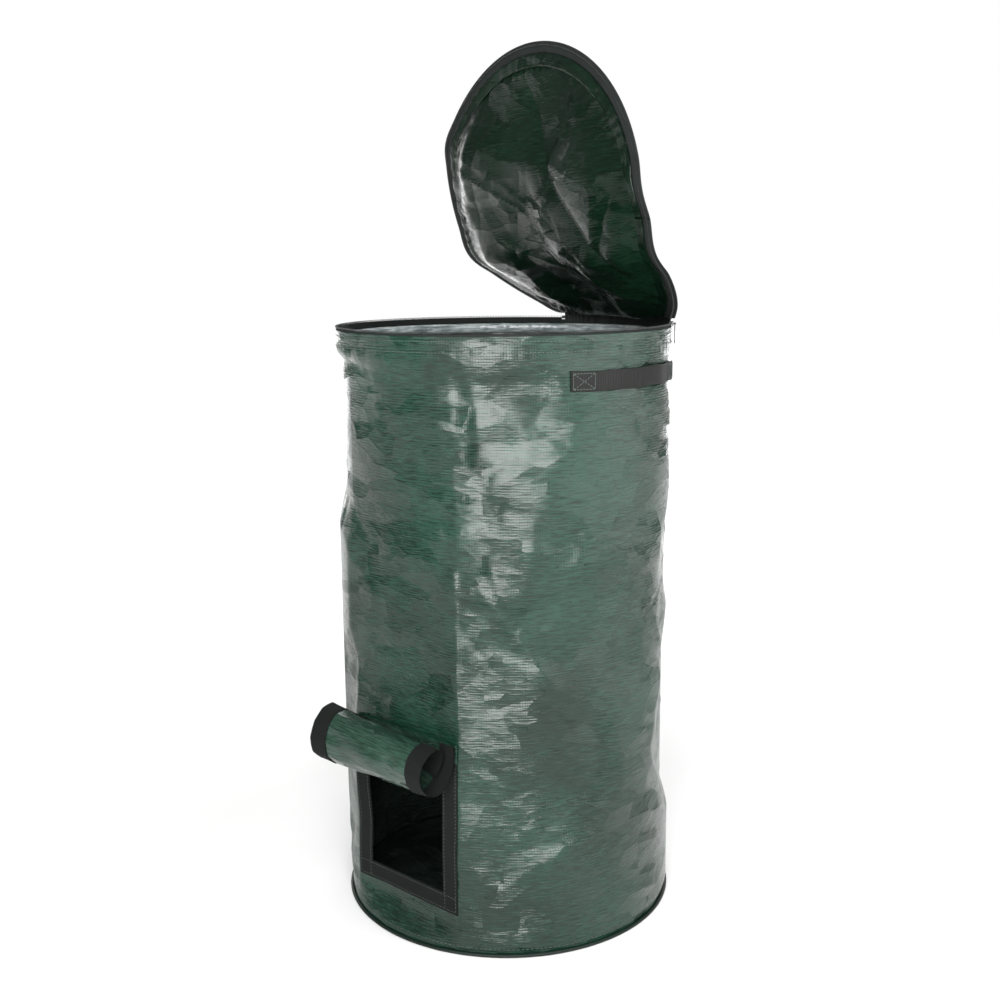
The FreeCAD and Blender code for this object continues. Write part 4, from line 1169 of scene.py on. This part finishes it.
def ring_band(name, profile, start, end, count, wobble, material, slot, node):
    """Band round the mouth from a closed profile of (inset, height) pairs; wobble moves it inwards."""
    profile = np.array(profile)
    angles = np.linspace(start, end, count)
    inset, level = profile[:, 0][:, None], profile[:, 1][:, None]
    waves = 1.6 + np.sin(61 * angles + 3 * np.sin(5 * angles)) + 0.6 * np.sin(143 * angles)
    radius = RADIUS - inset - wobble * waves
    points = np.stack([radius * np.cos(angles), radius * np.sin(angles), level + 0 * angles], -1)
    index = np.arange(points[..., 0].size).reshape(len(profile), count)
    index = np.concatenate([index, index[:1]])
    quads = np.stack([index[:-1, :-1], index[1:, :-1], index[1:, 1:], index[:-1, 1:]], -1).reshape(-1, 4)
    uv = np.stack(np.broadcast_arrays(angles * RADIUS, np.cumsum(np.full_like(inset, 2 * MM))[:, None]), -1)
    made = make_piece(name, points.reshape(-1, 3), quads, uv.reshape(-1, 2), material, slot)
    if end - start < 2 * math.pi - 1e-6:
        fill_ends(made)
    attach(made, "bag")
    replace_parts(made, node)
    return made


INSET, HEM_DEPTH, HEM_ROUND, BAND_THICK = CLOTH + CLEAR, 4.6 * MM, 3 * MM, 0.6 * MM
SLEEVE_MIDDLE = (SLEEVE_LOW + SLEEVE_HIGH) / 2
hem_profile = [(INSET, SLEEVE_LOW), (INSET, SLEEVE_MIDDLE), (INSET, SLEEVE_HIGH),
               (INSET + HEM_DEPTH * 0.55, SLEEVE_HIGH), (INSET + HEM_DEPTH, SLEEVE_HIGH - HEM_ROUND),
               (INSET + HEM_DEPTH * 1.05, SLEEVE_MIDDLE), (INSET + HEM_DEPTH, SLEEVE_LOW + HEM_ROUND),
               (INSET + HEM_DEPTH * 0.5, SLEEVE_LOW)]
# The hem's pale grey finish is painted reflection.
ring_band("rim_hem", hem_profile, 0, 2 * math.pi, 721, 0.25 * MM, RIM_HEM_PAINTED_REFLECTION, "woven_pe_green", "rim_sleeve")
zip_low, zip_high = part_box("rim_zip_tape")
zip_levels = np.linspace(zip_low.z, zip_high.z, 6)
zip_profile = [(INSET, z) for z in zip_levels] + [(INSET + BAND_THICK, z) for z in zip_levels[::-1]]
ring_band("rim_zip_band", zip_profile, ZIP_START, ZIP_END, 560, 0.06 * MM, ZIP_TAPE, "zip_tape",
          "rim_zip_tape")
print("rim bands: 2")

# %% [markdown]
# ## Handles
# Each handle is a length of webbing with its ends folded under and sewn on with a boxed cross. The free
# middle stands off the wall, so a hand can go under it. It is a strip of soft section, thick in the
# middle and thin at its edges, carried along a bow.

# %% Make the handles
STRAP_HALF, SEWN, BOW = math.radians(28.0), math.radians(9.0), 8.0 * MM
WEB_THICK, WEB_WIDTH = 1.3 * MM, STRAP_HIGH.z - STRAP_LOW.z
ALONG_POINTS, ROUND_POINTS = 190, 24


def make_handle(side, name):
    """Strap round the bag's side: radius = seat + bow x smooth hump over its free middle."""
    angle = np.linspace(-STRAP_HALF, STRAP_HALF, ALONG_POINTS)
    free = STRAP_HALF - SEWN
    hump = np.where(np.abs(angle) < free, np.cos(angle / free * math.pi / 2) ** 1.15, 0.0)
    seat = RADIUS + CLEAR + WEB_THICK
    section = np.linspace(0, 2 * math.pi, ROUND_POINTS + 1)[:-1]
    wide = np.sign(np.cos(section)) * np.abs(np.cos(section)) ** 0.35 * WEB_WIDTH / 2
    thick = np.sign(np.sin(section)) * np.abs(np.sin(section)) ** 0.6 * WEB_THICK / 2
    droop = 1.6 * MM * hump * np.sin(angle * 5 + 1) + 0.5 * MM * np.sin(angle * 23)
    twist = 0.10 * hump * np.sin(angle * 6 + 0.7)
    layers = np.where(np.abs(angle) > free - 0.01, 2.0, 1.0)
    radius = seat + BOW * hump + (WEB_THICK / 2) * (2 - layers)
    across, rise = wide[:, None], thick[:, None] * layers
    points_radius = radius + rise * np.cos(twist) + across * np.sin(twist)
    z = strap_z + across * np.cos(twist) + droop
    turn_by = angle + side
    points = np.stack([points_radius * np.cos(turn_by), points_radius * np.sin(turn_by), z + 0 * turn_by], -1)
    index = np.arange(points[..., 0].size).reshape(ROUND_POINTS, ALONG_POINTS)
    index = np.concatenate([index, index[:1]])
    quads = np.stack([index[:-1, :-1], index[:-1, 1:], index[1:, 1:], index[1:, :-1]], -1).reshape(-1, 4)
    uv = np.stack(np.broadcast_arrays(across, turn_by * RADIUS), -1).reshape(-1, 2)
    made = make_piece(name, points.reshape(-1, 3), quads, uv, WEBBING, "webbing")
    fill_ends(made)
    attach(made, "bag")
    return made


for side, word in ((0.0, "right"), (math.pi, "left")):
    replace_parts(make_handle(side, f"handle_webbing_{word}"), f"handle_strap_{word}")
print("handles: 2")

# %% [markdown]
# ## Stitches
# Stitches show how a bag is put together: a row round the base, two rows under the rim, rows along the
# tapes, and boxed crosses on the handles. Each stitch is a short bar with its ends tucked in, and each
# row is one mesh.

# %% Sew the rows
def stitches(name, middles, directions, outs, length, width, height, node=None):
    """Short bars of thread: five sections along each, lowest at the ends, made for all stitches at once."""
    along = np.array([-1.0, -0.6, 0.0, 0.6, 1.0]) * length / 2
    lift = np.array([-0.3, 0.7, 1.0, 0.7, -0.3]) * height
    corner = np.array([[-1, -0.5], [-0.6, 0.5], [0.6, 0.5], [1, -0.5]]) * [width / 2, height]
    sides = np.cross(outs, directions)
    spine = middles[:, None] + directions[:, None] * along[:, None] + outs[:, None] * lift[:, None]
    ring = spine[:, :, None] + sides[:, None, None] * corner[:, :1] + outs[:, None, None] * corner[:, 1:]
    base = np.arange(20).reshape(5, 4)
    beside = np.roll(base, -1, 1)
    quads = np.concatenate([np.stack([base[:-1], base[1:], beside[1:], beside[:-1]], -1).reshape(-1, 4),
                            base[:1], base[-1:, ::-1]])
    faces = (quads[None] + 20 * np.arange(len(middles))[:, None, None]).reshape(-1, 4)
    uv = np.zeros((20 * len(middles), 2))
    made = make_piece(name, ring.reshape(-1, 3), faces, uv, THREAD, "thread")
    fill_ends(made)
    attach(made, "bag")
    if node:
        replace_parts(made, node)
    return made


def rows_on_wall(name, runs, pitch, lift):
    """Stitches along runs of (angle, height) to (angle, height) on the wall; each points to the next one."""
    angles, heights = [], []
    for a0, z0, a1, z1 in runs:
        count = max(2, round(math.hypot((a1 - a0) * RADIUS, z1 - z0) / pitch))
        share = (np.arange(count) + 0.5) / count
        angles.append(np.stack([a0 + (a1 - a0) * share, np.full(count, (a1 - a0) / count * 0.3)], -1))
        heights.append(np.stack([z0 + (z1 - z0) * share, np.full(count, (z1 - z0) / count * 0.3)], -1))
    angle, height = np.concatenate(angles), np.concatenate(heights)
    middle = wall_place(angle[:, 0], height[:, 0], lift)
    ahead = wall_place(angle[:, 0] + angle[:, 1], height[:, 0] + height[:, 1], lift)
    out = unit(wall_place(angle[:, 0], height[:, 0], lift + 0.01) - middle)
    return stitches(name, middle, unit(ahead - middle), out, pitch * 0.62, 0.8 * MM, 0.35 * MM)


def level_runs(start, end, *heights):
    """One level run from angle to angle at each height."""
    return [(start, z, end, z) for z in heights]


HALF_ROUND = math.radians(179.9)
PITCH_BASE, PITCH_TAPE = 6 * MM, 5 * MM
FROM_EDGE = 3 * MM          # rows keep this far from a tape's edge
SUNK = HOOK_TAPE - 0.15 * MM  # stitches on the hook tape sink into its pile
rows_on_wall("base_stitches", level_runs(-HALF_ROUND, HALF_ROUND, 10.5 * MM), PITCH_BASE, CLEAR)
rows_on_wall("rim_stitches", level_runs(-HALF_ROUND, HALF_ROUND, SLEEVE_LOW + 1 * MM, SLEEVE_HIGH),
             PITCH_TAPE, -0.05 * MM)
inner, outer = math.asin((WINDOW_HALF + FROM_EDGE) / RADIUS), math.asin((FLAP_HALF - FROM_EDGE) / RADIUS)
upright_runs = [(a, TAPE_FOOT + FROM_EDGE, a, LINTEL - FROM_EDGE) for a in (-outer, -inner, inner, outer)]
rows_on_wall("window_tape_stitches", upright_runs, PITCH_TAPE, SUNK)
rows_on_wall("window_foot_stitches", level_runs(-outer, outer, TAPE_FOOT + FROM_EDGE, SILL - FROM_EDGE),
             PITCH_TAPE, SUNK)
rows_on_wall("flap_head_stitches", level_runs(-outer, outer, seam[2] + FROM_EDGE, HEAD - FROM_EDGE),
             PITCH_TAPE, -seam[1] - FLAT_Y + CLOTH / 2 + CLEAR)
CROSS_PITCH = 4.2 * MM


def handle_cross(side, word):
    """Boxed crosses on both sewn ends of one handle."""
    face = RADIUS + CLEAR + 2 * WEB_THICK
    half_long, half_high = SEWN * face / 2 - FROM_EDGE, WEB_WIDTH / 2 - FROM_EDGE
    corners = np.array([(-1, -1), (1, -1), (1, 1), (-1, 1)]) * [half_long, half_high]
    box_sides = [(corners[i], corners[(i + 1) % 4]) for i in range(4)]
    runs = box_sides + [(corners[0], corners[2]), (corners[1], corners[3])]
    middles, directions, outs = [], [], []
    for end in (-1, 1):
        centre = side + end * (STRAP_HALF - SEWN / 2)
        for start, stop in runs:
            count = max(2, round(float(np.hypot(*(stop - start))) / CROSS_PITCH))
            share = ((np.arange(count) + 0.5) / count)[:, None]
            spot = start + (stop - start) * share
            angle = centre + spot[:, 0] / face
            radial = np.stack([np.cos(angle), np.sin(angle), 0 * angle], -1)
            middles.append(radial * face + [0, 0, 1] * (strap_z + spot[:, 1:]))
            step = unit(stop - start)
            tangent = np.stack([-np.sin(angle), np.cos(angle), 0 * angle], -1)
            directions.append(tangent * step[0] + np.array([0, 0, 1.0]) * step[1])
            outs.append(radial)
    stitches(f"handle_cross_{word}", *map(np.concatenate, (middles, directions, outs)), 2.9 * MM, 0.9 * MM,
             0.4 * MM, f"handle_stitching_{word}")


handle_cross(0.0, "right")
handle_cross(math.pi, "left")

# %% [markdown]
# ## Parts that stay as the model made them
# The slider, its pull, the end stops, the hoop, its ferrule, the welt and the hinge tape are already the
# right shape, so they only get a finish.

# %% Finish the model's own parts
KEPT = {"base_welt": WELT, "rim_hoop": ROD, "hoop_ferrule": STEEL, "zip_end_stops": STOP,
        "hinge_tape": HINGE_TAPE, "zip_slider": ZINC, "zip_pull": ZINC}
for node, finish in KEPT.items():
    frame["nodes"][node].data.materials.clear()
    frame["nodes"][node].data.materials.append(finish)
print("kept:", sorted(KEPT))

# %% [markdown]
# ## The floor
# A pale, plain floor meets the white surround far behind the bag.

# %% Lay the floor
FLOOR_RADIUS, FLOOR_Z = 14.0, -0.6 * MM


def studio_floor():
    """Large flat disc just under the bag. Its paint glows more with distance, so that it meets the white."""
    angle = np.linspace(0, 2 * math.pi, 97)[:-1]
    x, y = FLOOR_RADIUS * np.cos(angle), FLOOR_RADIUS * np.sin(angle)
    points = np.stack([x, y, np.full_like(angle, FLOOR_Z)], -1)
    mesh = bpy.data.meshes.new("studio_floor")
    mesh.from_pydata(points, [], [list(range(len(points)))])
    made = bpy.data.objects.new("studio_floor", mesh)
    bpy.context.scene.collection.objects.link(made)
    material, tree, shader = start_material("pale_floor_paint", 0.9)
    where = add(tree, "TexCoord").outputs["Object"]
    cloud = add(tree, "TexNoise", {"Vector": where, "Scale": 1.5}).outputs["Fac"]
    tint = add(tree, "Mix", {0: cloud, 6: srgb("#d2d2d1"), 7: srgb("#dadada")}, data_type="RGBA").outputs[2]
    tree.links.new(tint, shader.inputs["Base Color"])
    away = add(tree, "VectorMath", {0: where}, operation="LENGTH").outputs["Value"]
    far_light = add(tree, "MapRange", {"Value": away, "From Min": 0.5, "From Max": 3.0, "To Min": 0.1,
                    "To Max": 1.0}).outputs["Result"]
    tree.links.new(far_light, shader.inputs["Emission Strength"])
    shader.inputs["Emission Color"].default_value = (1, 1, 1, 1)
    mesh.materials.append(material)
    return made


studio_floor()
print("floor laid")
